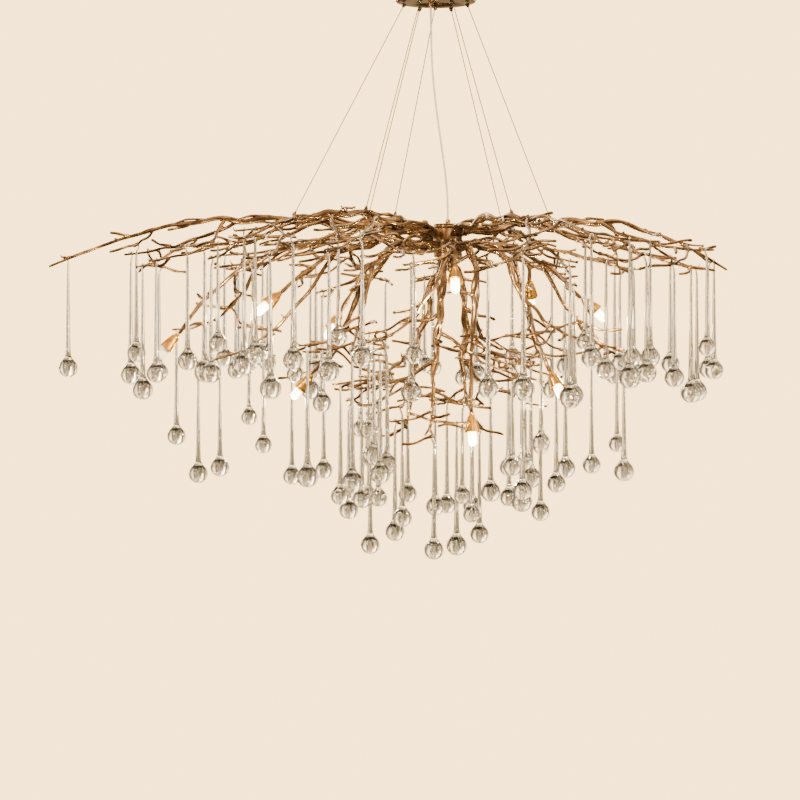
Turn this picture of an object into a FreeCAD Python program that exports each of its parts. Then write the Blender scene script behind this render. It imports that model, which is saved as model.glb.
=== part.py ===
import FreeCAD, Part
import Sketcher
import math
import os

# A branch chandelier hung on steel cables, with cast brass limbs, lamp arms and clear glass drops.
# Millimetres. +Z is up, +Y points away from the viewer, and the origin lies in the ceiling plane on
# the canopy's axis.

# Driving sizes: one row is one cell of the sheet
DRIVING = (
    ("canopy_diameter", 140.0),
    ("canopy_depth", 27.0),
    ("canopy_wall", 1.2),
    ("bracket_length", 120.0),
    ("bracket_width", 22.0),
    ("bracket_thickness", 2.5),
    ("slot_spacing", 72.0),
    ("slot_width", 5.2),
    ("slot_length", 14.0),
    ("stud_spacing", 100.0),
    ("stud_diameter", 4.0),
    ("stud_hole_clearance", 0.3),
    ("nut_width", 8.0),
    ("nut_height", 6.0),
    ("cable_ring_diameter", 108.0),
    ("cable_diameter", 1.6),
    ("bushing_width", 8.0),
    ("bushing_length", 7.0),
    ("lug_width", 8.0),
    ("lug_length", 9.0),
    ("cord_diameter", 3.6),
    ("gland_width", 10.0),
    ("gland_length", 8.0),
    ("gland_offset_x", -9.0),
    ("gland_offset_y", -6.0),
    ("hub_offset_x", 21.0),
    ("hub_diameter", 50.0),
    ("hub_top_depth", 411.0),
    ("hub_height", 57.0),
    ("hub_wall", 2.0),
    ("hub_floor", 3.0),
    ("lid_thickness", 3.0),
    ("lid_spigot", 4.0),
    ("terminal_length", 24.0),
    ("terminal_width", 12.0),
    ("terminal_height", 10.0),
    ("upper_row_depth", 16.0),
    ("arm_row_depth", 38.0),
    ("trunk_circle_diameter", 27.0),
    ("limb_root_radius", 5.4),
    ("limb_tip_radius", 2.4),
    ("twig_tip_radius", 2.1),
    ("arm_root_radius", 4.6),
    ("arm_tip_radius", 3.6),
    ("cup_length", 34.0),
    ("cup_neck_radius", 4.4),
    ("cup_shoulder_radius", 7.6),
    ("cup_mouth_radius", 13.5),
    ("cup_wall", 1.3),
    ("cup_recess", 15.0),
    ("holder_radius", 7.6),
    ("holder_length", 12.0),
    ("socket_radius", 5.6),
    ("socket_depth", 9.0),
    ("bulb_base_clearance", 0.4),
    ("bulb_radius", 7.5),
    ("bulb_length", 34.0),
    ("drop_long", 232.0),
    ("drop_medium", 205.0),
    ("drop_short", 176.0),
    ("ball_long_radius", 18.0),
    ("ball_medium_radius", 16.5),
    ("ball_short_radius", 15.0),
    ("hook_rod_radius", 1.3),
    ("hook_drop", 11.0),
    ("seat_gap", 0.3),
    ("running_gap", 2.0),
)

doc = FreeCAD.newDocument("chandelier")
sheet = doc.addObject("Spreadsheet::Sheet", "Sizes")
for row, (word, value) in enumerate(DRIVING, start=1):
    sheet.set("A%d" % row, word)
    sheet.set("B%d" % row, str(value))
    sheet.setAlias("B%d" % row, word)
doc.recompute()


def size(word):
    """The number in the sheet's cell of that name."""
    return float(sheet.get(word))


# Vectors as plain tuples

def add(a, b):
    return (a[0] + b[0], a[1] + b[1], a[2] + b[2])


def sub(a, b):
    return (a[0] - b[0], a[1] - b[1], a[2] - b[2])


def scaled(a, k):
    return (a[0] * k, a[1] * k, a[2] * k)


def dot(a, b):
    return a[0] * b[0] + a[1] * b[1] + a[2] * b[2]


def cross(a, b):
    return (a[1] * b[2] - a[2] * b[1], a[2] * b[0] - a[0] * b[2], a[0] * b[1] - a[1] * b[0])


def unit(a):
    return scaled(a, 1.0 / math.sqrt(dot(a, a)))


def between(a, b, part):
    return add(a, scaled(sub(b, a), part))


def heading_vector(degrees, dip=0.0):
    """The unit vector at that heading from +X, pointing down by dip degrees."""
    flat = math.cos(math.radians(dip))
    turn = math.radians(degrees)
    return (flat * math.cos(turn), flat * math.sin(turn), -math.sin(math.radians(dip)))


# How the frame grows: limbs, lamp arms and trunks, then side boughs, twigs and drops.
# Points and heights in these tables are taken from the middle of the hub's top.

# name, tip (x, y, z), height of the limb's back, side sway
UPPER_LIMBS = (
    ("left", (-689.0, -25.0, -75.0), 23.0, 16.0),
    ("front_left", (-326.0, -478.0, -55.0), 11.0, -18.0),
    ("front_right", (227.0, -492.0, -61.0), 7.0, 16.0),
    ("right", (487.0, 18.0, -79.0), 19.0, -14.0),
    ("back_right", (241.0, 470.0, -63.0), 19.0, 18.0),
    ("back_left", (-351.0, 462.0, -57.0), 21.0, -16.0),
)
# neck of the cup (x, y, z), heading and dip of the lamp, length and fall of the arm's bough
LAMP_ARMS = (
    ((-285.0, -104.0, -123.0), 204.0, 42.0, 235.0, -165.0),
    ((-182.0, -175.0, -159.0), 236.0, 50.0, 225.0, -160.0),
    ((9.0, -127.0, -79.0), 268.0, 60.0, 230.0, -190.0),
    ((149.0, 152.0, -91.0), 110.0, 50.0, 225.0, -180.0),
    ((-240.0, 130.0, -259.0), 165.0, 35.0, 205.0, -110.0),
    ((39.0, -75.0, -326.0), 290.0, 65.0, 130.0, -60.0),
    ((171.0, -117.0, -257.0), 300.0, 35.0, 190.0, -80.0),
    ((235.0, 37.0, -127.0), 5.0, 42.0, 245.0, -150.0),
    ((-470.0, 26.0, -189.0), 190.0, 60.0, 150.0, -110.0),
)
# name, tip (x, y, z), side sway
TRUNKS = (
    ("left", (-101.0, 45.0, -369.0), 10.0),
    ("front", (-41.0, -112.0, -365.0), -10.0),
    ("right", (64.0, 72.0, -357.0), 12.0),
)

# name, angle on the canopy's ring, place along the limb
CABLES = (
    ("left", 180.0, 0.43),
    ("front_left", 240.0, 0.46),
    ("front_right", 300.0, 0.47),
    ("right", 0.0, 0.40),
    ("back_right", 60.0, 0.46),
    ("back_left", 120.0, 0.44),
)
POST_PLACE = 0.2
POST_HEIGHT = 20.0

# A path is a list of (point, radius); a piece of frame is a list of paths


def bezier(a, b, c, d, part):
    """The point at part of the cubic curve from a to d with the handles b and c."""
    rest = 1.0 - part
    weights = (rest ** 3, 3.0 * rest * rest * part, 3.0 * rest * part * part, part ** 3)
    return tuple(weights[0] * p + weights[1] * q + weights[2] * r + weights[3] * s
                 for p, q, r, s in zip(a, b, c, d))


def curved_path(root, out, corner, handle, tip, steps, radii, sway):
    """A straight root stub along out, then a cubic to the tip that wanders sideways by sway."""
    stub = add(root, scaled(out, 12.0))
    across = unit(cross(sub(tip, root), (0.3, 0.2, 1.0)))
    path = [(root, radii[0])]
    for step in range(steps + 1):
        part = step / steps
        point = bezier(stub, corner, handle, tip, part)
        bend = sway * math.sin(2.6 * math.pi * part) * math.sin(math.pi * part)
        kink = 2.5 * math.sin(2.4 * step + sway) * math.sin(math.pi * part)
        point = add(point, add(scaled(across, bend), (0.0, 0.0, kink)))
        path.append((point, radii[0] + (radii[1] - radii[0]) * part))
    return path


def point_at(path, part):
    """Point, direction, radius and segment number at part of the path's points."""
    place = part * (len(path) - 1)
    index = min(int(place), len(path) - 2)
    (a, ra), (b, rb) = path[index], path[index + 1]
    share = place - index
    return between(a, b, share), unit(sub(b, a)), ra + (rb - ra) * share, index


def branch_path(parent, part, yaw, length, fall, curl, steps, tip_radius):
    """A branch off a path: it falls steeply at first and ends level, turning by curl degrees."""
    start, along, radius, _ = point_at(parent, part)
    heading = math.degrees(math.atan2(along[1], along[0])) + yaw
    root_radius = max(0.74 * radius, tip_radius)
    path = [(start, root_radius)]
    place = start
    for step in range(steps):
        middle = (step + 0.5) / steps
        out = heading_vector(heading + curl * middle)
        sink = fall * (2.0 - 2.0 * middle) / steps
        place = add(place, add(scaled(out, length / steps), (0.0, 0.0, sink)))
        share = (step + 1.0) / steps
        path.append((place, root_radius + (tip_radius - root_radius) * share))
    return path


def capsule_gap(one, two):
    """Distance between the skins of two capsules, each (end, end, radius)."""
    p, q, r = one
    s, t, u = two
    d1, d2, w = sub(q, p), sub(t, s), sub(p, s)
    a, b, c = dot(d1, d1), dot(d1, d2), dot(d2, d2)
    d, e = dot(d1, w), dot(d2, w)
    wide = a * c - b * b
    x = 0.0
    if wide > 1e-9:
        x = min(1.0, max(0.0, (b * e - c * d) / wide))
    y = min(1.0, max(0.0, (b * x + e) / c)) if c > 1e-9 else 0.0
    x = min(1.0, max(0.0, (b * y - d) / a)) if a > 1e-9 else 0.0
    apart = sub(add(p, scaled(d1, x)), add(s, scaled(d2, y)))
    return math.sqrt(dot(apart, apart)) - r - u


def near(one, two, margin):
    """False where two capsules are surely further apart than margin."""
    reach = one[2] + two[2] + margin
    for axis in range(3):
        if min(one[0][axis], one[1][axis]) - max(two[0][axis], two[1][axis]) > reach:
            return False
        if min(two[0][axis], two[1][axis]) - max(one[0][axis], one[1][axis]) > reach:
            return False
    return True


def clear(capsules, taken, margin):
    """True where no capsule comes closer than margin to a taken one."""
    for one in capsules:
        for two in taken:
            if near(one, two, margin) and capsule_gap(one, two) < margin:
                return False
    return True


def capsules_of(path, first=0):
    return [(path[i][0], path[i + 1][0], max(path[i][1], path[i + 1][1]))
            for i in range(first, len(path) - 1)]


class Growth:
    """The frame's paths, the lamps, and the drops with what each keeps clear."""

    def __init__(self):
        self.pieces = {}
        self.taken = {}
        self.hooks = []
        self.drops = []
        self.lamps = []

    def take(self, name, path):
        self.pieces.setdefault(name, []).append(path)
        self.taken.setdefault(name, []).extend(capsules_of(path))

    def others(self, name):
        return [c for owner, list_ in self.taken.items() if owner != name for c in list_]

    def grow(self, name, parent, part, yaws, length, fall, curl, steps, tip_radius):
        """Adds the first branch of the yaws that stays clear, and returns it."""
        start, _, _, index = point_at(parent, part)
        margin = size("running_gap")
        for yaw in yaws:
            turn = curl if yaw > 0.0 else -curl
            path = branch_path(parent, part, yaw, length, fall, turn, steps, tip_radius)
            skip = capsules_of(parent[max(0, index - 1):index + 3])
            own = [c for c in self.taken[name] if c not in skip]
            if not clear(capsules_of(path), self.others(name), margin):
                continue
            outer_half = (between(path[0][0], path[1][0], 0.5), path[1][0], path[0][1])
            if not clear([outer_half] + capsules_of(path, 1), own, margin):
                continue
            self.take(name, path)
            return path
        return None


def hub_axis():
    return (size("hub_offset_x"), 0.0, -size("hub_top_depth"))


def root_on_wall(tip, row_depth):
    """Root point and outward direction on the hub's wall, facing the tip."""
    axis = hub_axis()
    out = unit((tip[0] - axis[0], tip[1] - axis[1], 0.0))
    reach = size("hub_diameter") / 2.0 + size("seat_gap")
    return add(add(axis, scaled(out, reach)), (0.0, 0.0, -row_depth)), out


def main_paths(growth):
    """The six upper limbs, the nine lamp arms and the three trunks."""
    limb_radii = (size("limb_root_radius"), size("limb_tip_radius"))
    arm_radii = (size("arm_root_radius"), size("arm_tip_radius"))
    axis = hub_axis()
    for name, far, back, sway in UPPER_LIMBS:
        tip = add(axis, far)
        root, out = root_on_wall(tip, size("upper_row_depth"))
        span = sub(tip, root)
        ridge = axis[2] + back
        corner = (root[0] + 0.33 * span[0], root[1] + 0.33 * span[1], ridge)
        handle = (root[0] + 0.72 * span[0], root[1] + 0.72 * span[1], ridge)
        growth.take("limb_" + name, curved_path(root, out, corner, handle, tip, 7, limb_radii, sway))
    for number, (far, heading, dip, _, _) in enumerate(LAMP_ARMS, start=1):
        neck = add(axis, far)
        root, out = root_on_wall(neck, size("arm_row_depth"))
        aim = heading_vector(heading, dip)
        reach = math.sqrt(dot(sub(neck, root), sub(neck, root)))
        corner = add(root, add(scaled(out, 0.45 * reach), (0.0, 0.0, 0.12 * reach)))
        handle = sub(neck, scaled(aim, 0.3 * reach))
        name = "lamp_arm_%d" % number
        path = curved_path(root, out, corner, handle, neck, 5, arm_radii, 0.0)
        growth.take(name, path)
        growth.lamps.append((name, path[-1][0], unit(sub(path[-1][0], path[-2][0]))))
    for name, far, sway in TRUNKS:
        tip = add(axis, far)
        out = unit((far[0], far[1], 0.0))
        floor = -size("hub_height") - size("seat_gap")
        root = add(add(axis, scaled(out, size("trunk_circle_diameter") / 2.0)), (0.0, 0.0, floor))
        down = (0.0, 0.0, -1.0)
        corner = add(root, (60.0 * out[0], 60.0 * out[1], -70.0))
        handle = add(tip, (-80.0 * out[0], -80.0 * out[1], 14.0))
        growth.take("trunk_" + name, curved_path(root, down, corner, handle, tip, 7, limb_radii, sway))


def lamp_room(growth):
    """Keeps the place of each cup and of its bulb, pulled out as well."""
    for name, neck, aim in growth.lamps:
        mouth = add(neck, scaled(aim, size("cup_length")))
        tip = add(mouth, scaled(aim, size("bulb_length") + 14.0))
        growth.taken.setdefault("cup of " + name, []).append((neck, mouth, size("cup_mouth_radius")))
        growth.taken["cup of " + name].append((mouth, tip, size("bulb_radius")))


# Branches by the kind of path that they grow on: place on the path, yaw, length, fall
LIMB_BOUGHS = ((0.42, 31.0, 280.0, -52.0), (0.54, -32.0, 245.0, -58.0))
LIMB_TWIGS = (
    (0.58, 55.0, 96.0, -46.0),
    (0.74, -52.0, 110.0, -26.0),
    (0.87, 46.0, 84.0, -22.0),
)
BOUGH_TWIGS = ((0.45, 52.0, 92.0, -40.0), (0.78, -48.0, 86.0, -26.0))
ARM_TWIGS = ((0.72, -68.0, 92.0, -30.0),)
FALLING_TWIGS = ((0.50, -52.0, 88.0, -34.0), (0.85, 55.0, 70.0, -16.0))
TRUNK_BOUGHS = ((0.46, 70.0, 165.0, -62.0), (0.58, -60.0, 150.0, -50.0))
TRUNK_TWIGS = ((0.70, 130.0, 104.0, -24.0), (0.80, -110.0, 92.0, -20.0), (0.90, 20.0, 74.0, -14.0))


def with_mirror(yaw):
    """The yaws to try: as drawn, mirrored, then wider and narrower."""
    return (yaw, -yaw, 0.7 * yaw, -0.7 * yaw, 1.35 * yaw, -1.35 * yaw)


def uneven(value, number, turn):
    """A value made uneven from twig to twig."""
    return value * (1.0 + 0.13 * math.sin(2.3 * number + 1.7 * turn))


def branches(growth, name, parent, pattern, turn, steps=2):
    """The branches of a pattern that find room on a path, each with a hook near its tip."""
    grown = []
    tip_radius = size("twig_tip_radius") if steps == 2 else size("limb_tip_radius")
    for number, (part, yaw, length, fall) in enumerate(pattern):
        path = growth.grow(name, parent, part, with_mirror(uneven(yaw, number, turn)),
                           uneven(length, number, turn), uneven(fall, number, turn + 1),
                           14.0, steps, tip_radius)
        if path is not None:
            growth.hooks.append((name, path, steps - 1, 0.75))
            grown.append(path)
    return grown


def side_growth(growth):
    """Boughs first, then twigs, grown where there is room."""
    boughs = []
    for turn, (name, _, _, _) in enumerate(UPPER_LIMBS):
        owner = "limb_" + name
        for bough in branches(growth, owner, growth.pieces[owner][0], LIMB_BOUGHS, turn, 4):
            boughs.append((owner, bough, BOUGH_TWIGS, turn))
    for turn, (_, _, _, length, fall) in enumerate(LAMP_ARMS):
        owner = "lamp_arm_%d" % (turn + 1)
        yaw = 30.0 if turn % 2 else -30.0
        pattern = ((0.62, yaw, length, fall),)
        for bough in branches(growth, owner, growth.pieces[owner][0], pattern, turn, 3):
            boughs.append((owner, bough, FALLING_TWIGS, turn))
    for turn, (name, _, _) in enumerate(TRUNKS):
        owner = "trunk_" + name
        for bough in branches(growth, owner, growth.pieces[owner][0], TRUNK_BOUGHS, turn, 3):
            boughs.append((owner, bough, BOUGH_TWIGS, turn))
    for owner, bough, pattern, turn in boughs:
        branches(growth, owner, bough, pattern, turn)
    for kind, pattern in (("limb", LIMB_TWIGS), ("lamp", ARM_TWIGS), ("trunk", TRUNK_TWIGS)):
        owners = [owner for owner in growth.pieces if owner.startswith(kind)]
        for turn, owner in enumerate(owners):
            branches(growth, owner, growth.pieces[owner][0], pattern, turn)


def centre_post(growth):
    """The short upright stub beside the hub that the centre cable pulls on."""
    limb = growth.pieces["limb_left"][0]
    foot, _, radius, _ = point_at(limb, POST_PLACE)
    top = add(foot, (0.0, 0.0, POST_HEIGHT))
    growth.take("limb_left", [(foot, 0.7 * radius), (top, 0.6 * radius)])
    return top


# Drops: name of the size, its length and its ball's radius

def drop_size(kind):
    return size("drop_" + kind), size("ball_%s_radius" % kind)


# Directions of the hook's three corners from its middle, where the twig runs through
HOOK_ANGLES = (-20.0, 65.0, 150.0)


# Room in the hook, as a share of a limb's radius at its tip
HOOK_SLACK = 1.2
# Top of the neck over the ball's centre and its radius, as shares of the ball's radius
NECK_HEIGHT = 1.16
NECK_RADIUS = 0.27
# Room kept round the upper half of a stem, and round a hook
STEM_ROOM = 3.2
HOOK_ROOM = 6.9


def hook_room():
    """Distance from the hook's middle to the inside of its rod, clear of the thickest hung twig."""
    return HOOK_SLACK * size("limb_tip_radius") + size("seat_gap")


def hook_play():
    """Radius of the twig that would touch nothing but the gap under the hook's crown."""
    crown = math.radians((HOOK_ANGLES[1] + HOOK_ANGLES[2]) / 2.0)
    return (hook_room() - size("seat_gap")) / math.sin(crown)


def drop_room(hook, along, kind, angles):
    """Capsules of a drop's stem and ball at each angle of swing about its twig."""
    length, ball = drop_size(kind)
    side = cross(along, (0.0, 0.0, -1.0))
    room = []
    for angle in angles:
        turn = math.radians(angle)
        down = add(scaled((0.0, 0.0, -1.0), math.cos(turn)), scaled(side, math.sin(turn)))
        top = add(hook, scaled(down, size("hook_drop")))
        centre = add(hook, scaled(down, length - ball))
        middle = between(top, centre, 0.5)
        room.append((top, middle, STEM_ROOM))
        room.append((middle, centre, NECK_RADIUS * ball))
        room.append((centre, centre, ball))
    return room


def hang(growth, place, kinds, angles, moving_name):
    """Hangs the first kind of drop that has room at that place."""
    name, path, index, share = place
    (a, thick), (b, thin) = path[index], path[index + 1]
    along = unit((b[0] - a[0], b[1] - a[1], 0.0))
    sag = hook_play() - (thick + (thin - thick) * share)
    if moving_name:
        sag -= 2.0 * size("seat_gap")
    hook = add(between(a, b, share), (0.0, 0.0, -sag))
    own = capsules_of(path)
    frame = [c for list_ in growth.taken.values() for c in list_ if c not in own]
    if not clear([(hook, hook, HOOK_ROOM)], frame, 1.0):
        return False
    for kind in kinds:
        room = drop_room(hook, along, kind, angles)
        if clear(room, frame, size("running_gap")) and clear(room, own, 1.0):
            growth.taken.setdefault("drops", []).extend(room + [(hook, hook, HOOK_ROOM)])
            growth.drops.append((name, hook, along, kind, moving_name))
            return True
    return False


SWING = 8.0
KINDS = (("medium", "long", "short"), ("long", "medium", "short"), ("medium", "short", "long"),
         ("short", "medium", "long"))


def all_drops(growth):
    """An end drop of each limb and trunk swings in its own node; the others fill the frame."""
    swing = (-SWING, -0.5 * SWING, 0.0, 0.5 * SWING, SWING)
    ends = ["limb_" + row[0] for row in UPPER_LIMBS] + ["trunk_" + row[0] for row in TRUNKS]
    for owner in ends:
        path = growth.pieces[owner][0]
        places = [(owner, path, len(path) - 2, 0.6)]
        places += [place for place in reversed(growth.hooks) if place[0] == owner]
        for place in places:
            if hang(growth, place, KINDS[0], swing, owner):
                break
        else:
            raise RuntimeError("no room for the end drop of " + owner)
    for number, place in enumerate(growth.hooks):
        hang(growth, place, KINDS[number % len(KINDS)], (0.0,), None)


growth = Growth()
main_paths(growth)
lamp_room(growth)
post_top = centre_post(growth)
side_growth(growth)
all_drops(growth)


# Solids from rings of points

def vector(point):
    return FreeCAD.Vector(*point)


def face(points):
    corners = [vector(p) for p in points]
    return Part.Face(Part.makePolygon(corners + corners[:1]))


def flat(points):
    """True where four points lie in one plane."""
    normal = cross(sub(points[1], points[0]), sub(points[2], points[0]))
    if dot(normal, normal) < 1e-12:
        return False
    return abs(dot(unit(normal), sub(points[3], points[0]))) < 1e-7


def band(one, two):
    """Faces between two rings with equally many points, or from one to many or six to three."""
    faces = []
    count = len(one)
    if count == 1:
        return [face((one[0], a, b)) for a, b in zip(two, two[1:] + two[:1])]
    if len(two) * 2 == count:
        for k in range(len(two)):
            a, b, c = one[2 * k], one[2 * k + 1], one[(2 * k + 2) % count]
            d, e = two[k], two[(k + 1) % len(two)]
            faces += [face((a, b, d)), face((b, e, d)), face((b, c, e))]
        return faces
    for k in range(count):
        a, b = one[k], one[(k + 1) % count]
        c, d = two[(k + 1) % count], two[k]
        if flat((a, b, c, d)):
            faces.append(face((a, b, c, d)))
        else:
            faces += [face((a, b, c)), face((a, c, d))]
    return faces


def ring_solid(rings):
    """One closed solid through the rings, capped at its last and at its first unless that is a point."""
    faces = [face(ends) for ends in (rings[0], rings[-1]) if len(ends) > 1]
    for one, two in zip(rings, rings[1:]):
        faces += band(one, two)
    solid = Part.makeSolid(Part.makeShell(faces))
    if not solid.isValid() or solid.Volume <= 0.0:
        raise RuntimeError("a ring solid came out broken")
    return solid


def ring(centre, across, up, radius, sides, start=0.0):
    """Corners of a regular polygon in the plane of across and up."""
    points = []
    for k in range(sides):
        angle = math.radians(start) + 2.0 * math.pi * k / sides
        side = add(scaled(across, radius * math.cos(angle)), scaled(up, radius * math.sin(angle)))
        points.append(add(centre, side))
    return points


def upward(along):
    """A unit vector square to along that points up where it can."""
    guide = (0.0, 0.0, 1.0) if abs(along[2]) < 0.95 else (1.0, 0.0, 0.0)
    return unit(cross(cross(along, guide), along))


def tube(path, sides):
    """A tapered tube with flat sides along a path of (point, radius)."""
    points = [point for point, _ in path]
    runs = [unit(sub(b, a)) for a, b in zip(points, points[1:])]
    up = upward(runs[0])
    rings = []
    for k, (point, radius) in enumerate(path):
        before = runs[max(0, k - 1)]
        after = runs[min(k, len(runs) - 1)]
        along = unit(add(before, after))
        across = unit(cross(along, up))
        up = cross(across, along)
        rings.append(ring(point, up, across, radius, sides))
    return ring_solid(rings)


def sides_of(path):
    """Three sides for a twig and four for the rest."""
    return 4 if len(path) > 3 else 3


def one_piece(paths):
    """A limb with its boughs and twigs as one casting."""
    parts = [tube(path, sides_of(path)) for path in paths]
    whole = parts[0].fuse(parts[1:]) if len(parts) > 1 else parts[0]
    if len(whole.Solids) != 1:
        raise RuntimeError("a limb came apart into %d solids" % len(whole.Solids))
    return whole.Solids[0]


def turned(neck, aim, profile, sides=6):
    """A faceted turning along aim from neck: profile is a list of (distance, radius)."""
    up = upward(aim)
    across = cross(up, aim)
    return ring_solid([ring(add(neck, scaled(aim, along)), across, up, radius, sides)
                       for along, radius in profile])


# A glass drop, hung from the origin: ball, tapered stem and hook over a twig along Y

def hook_circle():
    """Radius of the circle that the corners of the hook's rod lie on."""
    half_step = math.radians((HOOK_ANGLES[1] - HOOK_ANGLES[0]) / 2.0)
    return (hook_room() + size("hook_rod_radius")) / math.cos(half_step)


def hook_rings():
    """Triangular rings of the bent rod, each in the mitre plane of its corner."""
    rod = size("hook_rod_radius")
    around = hook_circle()
    places = [(0.0, 0.0, -size("hook_drop"))]
    places += [(around * math.cos(math.radians(a)), 0.0, around * math.sin(math.radians(a)))
               for a in HOOK_ANGLES]
    runs = [(0.0, 0.0, 1.0)] + [unit(sub(b, a)) for a, b in zip(places, places[1:])]
    runs.append(runs[-1])
    rings = []
    for place, before, after in zip(places, runs, runs[1:]):
        along = unit(add(before, after))
        inward = cross((0.0, -1.0, 0.0), along)
        stretch = 1.0 / dot(along, after)
        corners = ((rod, 0.0), (-0.5 * rod, -0.866 * rod), (-0.5 * rod, 0.866 * rod))
        rings.append([add(place, add(scaled(inward, x * stretch), (0.0, y, 0.0))) for x, y in corners])
    return rings


# Ball and neck of a drop: height above the ball's centre and radius, as shares of the ball's radius
BALL_RINGS = ((-0.38, 0.96), (0.42, 0.92), (NECK_HEIGHT, NECK_RADIUS))


def drop_solid(kind):
    length, ball = drop_size(kind)
    centre = ball - length
    rings = [ring((0.0, 0.0, centre + height * ball), (-1.0, 0.0, 0.0), (0.0, -1.0, 0.0),
                  radius * ball, 6) for height, radius in BALL_RINGS]
    return ring_solid([[(0.0, 0.0, -length)]] + rings + hook_rings())


def seated(shape, hook, along):
    """A copy of the drop with its hook over the twig at hook."""
    x_axis = vector(cross(along, (0.0, 0.0, 1.0)))
    turn = FreeCAD.Rotation(x_axis, vector(along), FreeCAD.Vector(0, 0, 1), "XYZ")
    copy = shape.copy()
    copy.Placement = FreeCAD.Placement(vector(hook), turn)
    return copy


# Objects of the document

NODES = []


def kept(node):
    NODES.append(node)
    return node


def feature(name, shape):
    """A sub-part whose shape is set here."""
    node = doc.addObject("Part::Feature", name)
    node.Label = name
    node.Shape = shape
    return kept(node)


def group(name, solids):
    return feature(name, Part.makeCompound(solids))


def body_of(name):
    body = doc.addObject("PartDesign::Body", name)
    body.Label = name
    return kept(body)


def outline(body, name, plane, corners):
    """A sketch of closed outlines whose corners are pairs of expressions."""
    sketch = body.newObject("Sketcher::SketchObject", name)
    base = next(f for f in body.Origin.OriginFeatures if f.Role == plane)
    sketch.AttachmentSupport = [(base, "")]
    sketch.MapMode = "FlatFace"
    for loop in corners:
        draw_loop(sketch, loop)
    return sketch


def draw_loop(sketch, loop):
    places = [tuple(float(sketch.evalExpression(word)) for word in pair) for pair in loop]
    first = sketch.GeometryCount
    last = first + len(loop) - 1
    for k, (x, y) in enumerate(places):
        nx, ny = places[(k + 1) % len(places)]
        sketch.addGeometry(Part.LineSegment(FreeCAD.Vector(x, y, 0), FreeCAD.Vector(nx, ny, 0)), False)
    for k in range(len(loop)):
        line = first + k
        following = line + 1 if line < last else first
        sketch.addConstraint(Sketcher.Constraint("Coincident", line, 2, following, 1))
    for k, (words, (x, y)) in enumerate(zip(loop, places)):
        pin(sketch, "DistanceX", first + k, 1, x, words[0])
        pin(sketch, "DistanceY", first + k, 1, y, words[1])


def pin(sketch, kind, line, end, value, words):
    """Ties a point's coordinate to an expression."""
    number = sketch.addConstraint(Sketcher.Constraint(kind, -1, 1, line, end, value))
    sketch.setExpression("Constraints[%d]" % number, words)


def circles(body, name, plane, rows):
    """A sketch of circles, each (x, y, radius) as expressions."""
    sketch = outline(body, name, plane, ())
    for words in rows:
        x, y, radius = (float(sketch.evalExpression(word)) for word in words)
        circle = Part.Circle(FreeCAD.Vector(x, y, 0), FreeCAD.Vector(0, 0, 1), radius)
        number = sketch.addGeometry(circle, False)
        pin(sketch, "DistanceX", number, 3, x, words[0])
        pin(sketch, "DistanceY", number, 3, y, words[1])
        tied = sketch.addConstraint(Sketcher.Constraint("Radius", number, radius))
        sketch.setExpression("Constraints[%d]" % tied, words[2])
    return sketch


def pad(body, name, sketch, length, downward=True):
    step = body.newObject("PartDesign::Pad", name)
    step.Profile = sketch
    step.Reversed = downward
    step.setExpression("Length", length)
    return step


def pocket(body, name, sketch):
    step = body.newObject("PartDesign::Pocket", name)
    step.Profile = sketch
    step.Type = "ThroughAll"
    return step


def prism(name, foot, along, width, length):
    """A hexagonal bar of an expression's width and a length, standing on foot."""
    bar = doc.addObject("Part::Prism", name)
    bar.Polygon = 6
    bar.setExpression("Circumradius", width + " / 2")
    if isinstance(length, str):
        bar.setExpression("Height", length)
    else:
        bar.Height = length
    turn = FreeCAD.Rotation(FreeCAD.Vector(0, 0, 1), vector(along))
    bar.Placement = FreeCAD.Placement(vector(foot), turn)
    return bar


# Ceiling pieces

def canopy_face():
    """Height of the canopy's flat lower face."""
    return -size("canopy_depth")


# Sides of the round outlines of the canopy and the hub
CANOPY_SIDES = 48
HUB_SIDES = 32


def joined(kind, name, base, tool):
    """A boolean of two objects under its own name."""
    node = doc.addObject(kind, name)
    node.Label = name
    node.Base = base
    node.Tool = tool
    return node


def round_bar(name, sides, radius, axis, foot, height):
    """A many-sided bar, upright at axis on the X axis; all its sizes are expressions."""
    bar = doc.addObject("Part::Prism", name)
    bar.Polygon = sides
    bar.setExpression("Circumradius", radius)
    bar.setExpression("Height", height)
    bar.setExpression("Placement.Base.x", axis)
    bar.setExpression("Placement.Base.z", foot)
    return bar


def make_canopy():
    """A thin round cover, open at the ceiling, with a hole for each of its two studs."""
    rim = "Sizes.canopy_diameter / 2"
    height = "0 - Sizes.canopy_depth"
    outside = round_bar("canopy_outside", CANOPY_SIDES, rim, "0 mm", height, "Sizes.canopy_depth")
    inside = round_bar("canopy_inside", CANOPY_SIDES, rim + " - Sizes.canopy_wall", "0 mm",
                       height + " + Sizes.canopy_wall", "Sizes.canopy_depth")
    cover = joined("Part::Cut", "canopy_cover", outside, inside)
    holes = []
    for name, side in (("far", ""), ("near", "0 - ")):
        hole = doc.addObject("Part::Cylinder", name + "_stud_hole")
        hole.setExpression("Radius", "Sizes.stud_diameter / 2 + Sizes.stud_hole_clearance")
        hole.setExpression("Height", "Sizes.canopy_depth")
        hole.setExpression("Placement.Base.y", side + "Sizes.stud_spacing / 2")
        hole.setExpression("Placement.Base.z", height + " - Sizes.canopy_depth / 2")
        holes.append(hole)
    pair = doc.addObject("Part::Compound", "stud_holes")
    pair.Links = holes
    kept(joined("Part::Cut", "canopy", cover, pair))


def rectangle(x, y, wide, high):
    """Corner expressions of a rectangle about (x, y)."""
    return [("%s %s %s / 2" % (x, sx, wide), "%s %s %s / 2" % (y, sy, high))
            for sx, sy in (("-", "-"), ("+", "-"), ("+", "+"), ("-", "+"))]


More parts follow.
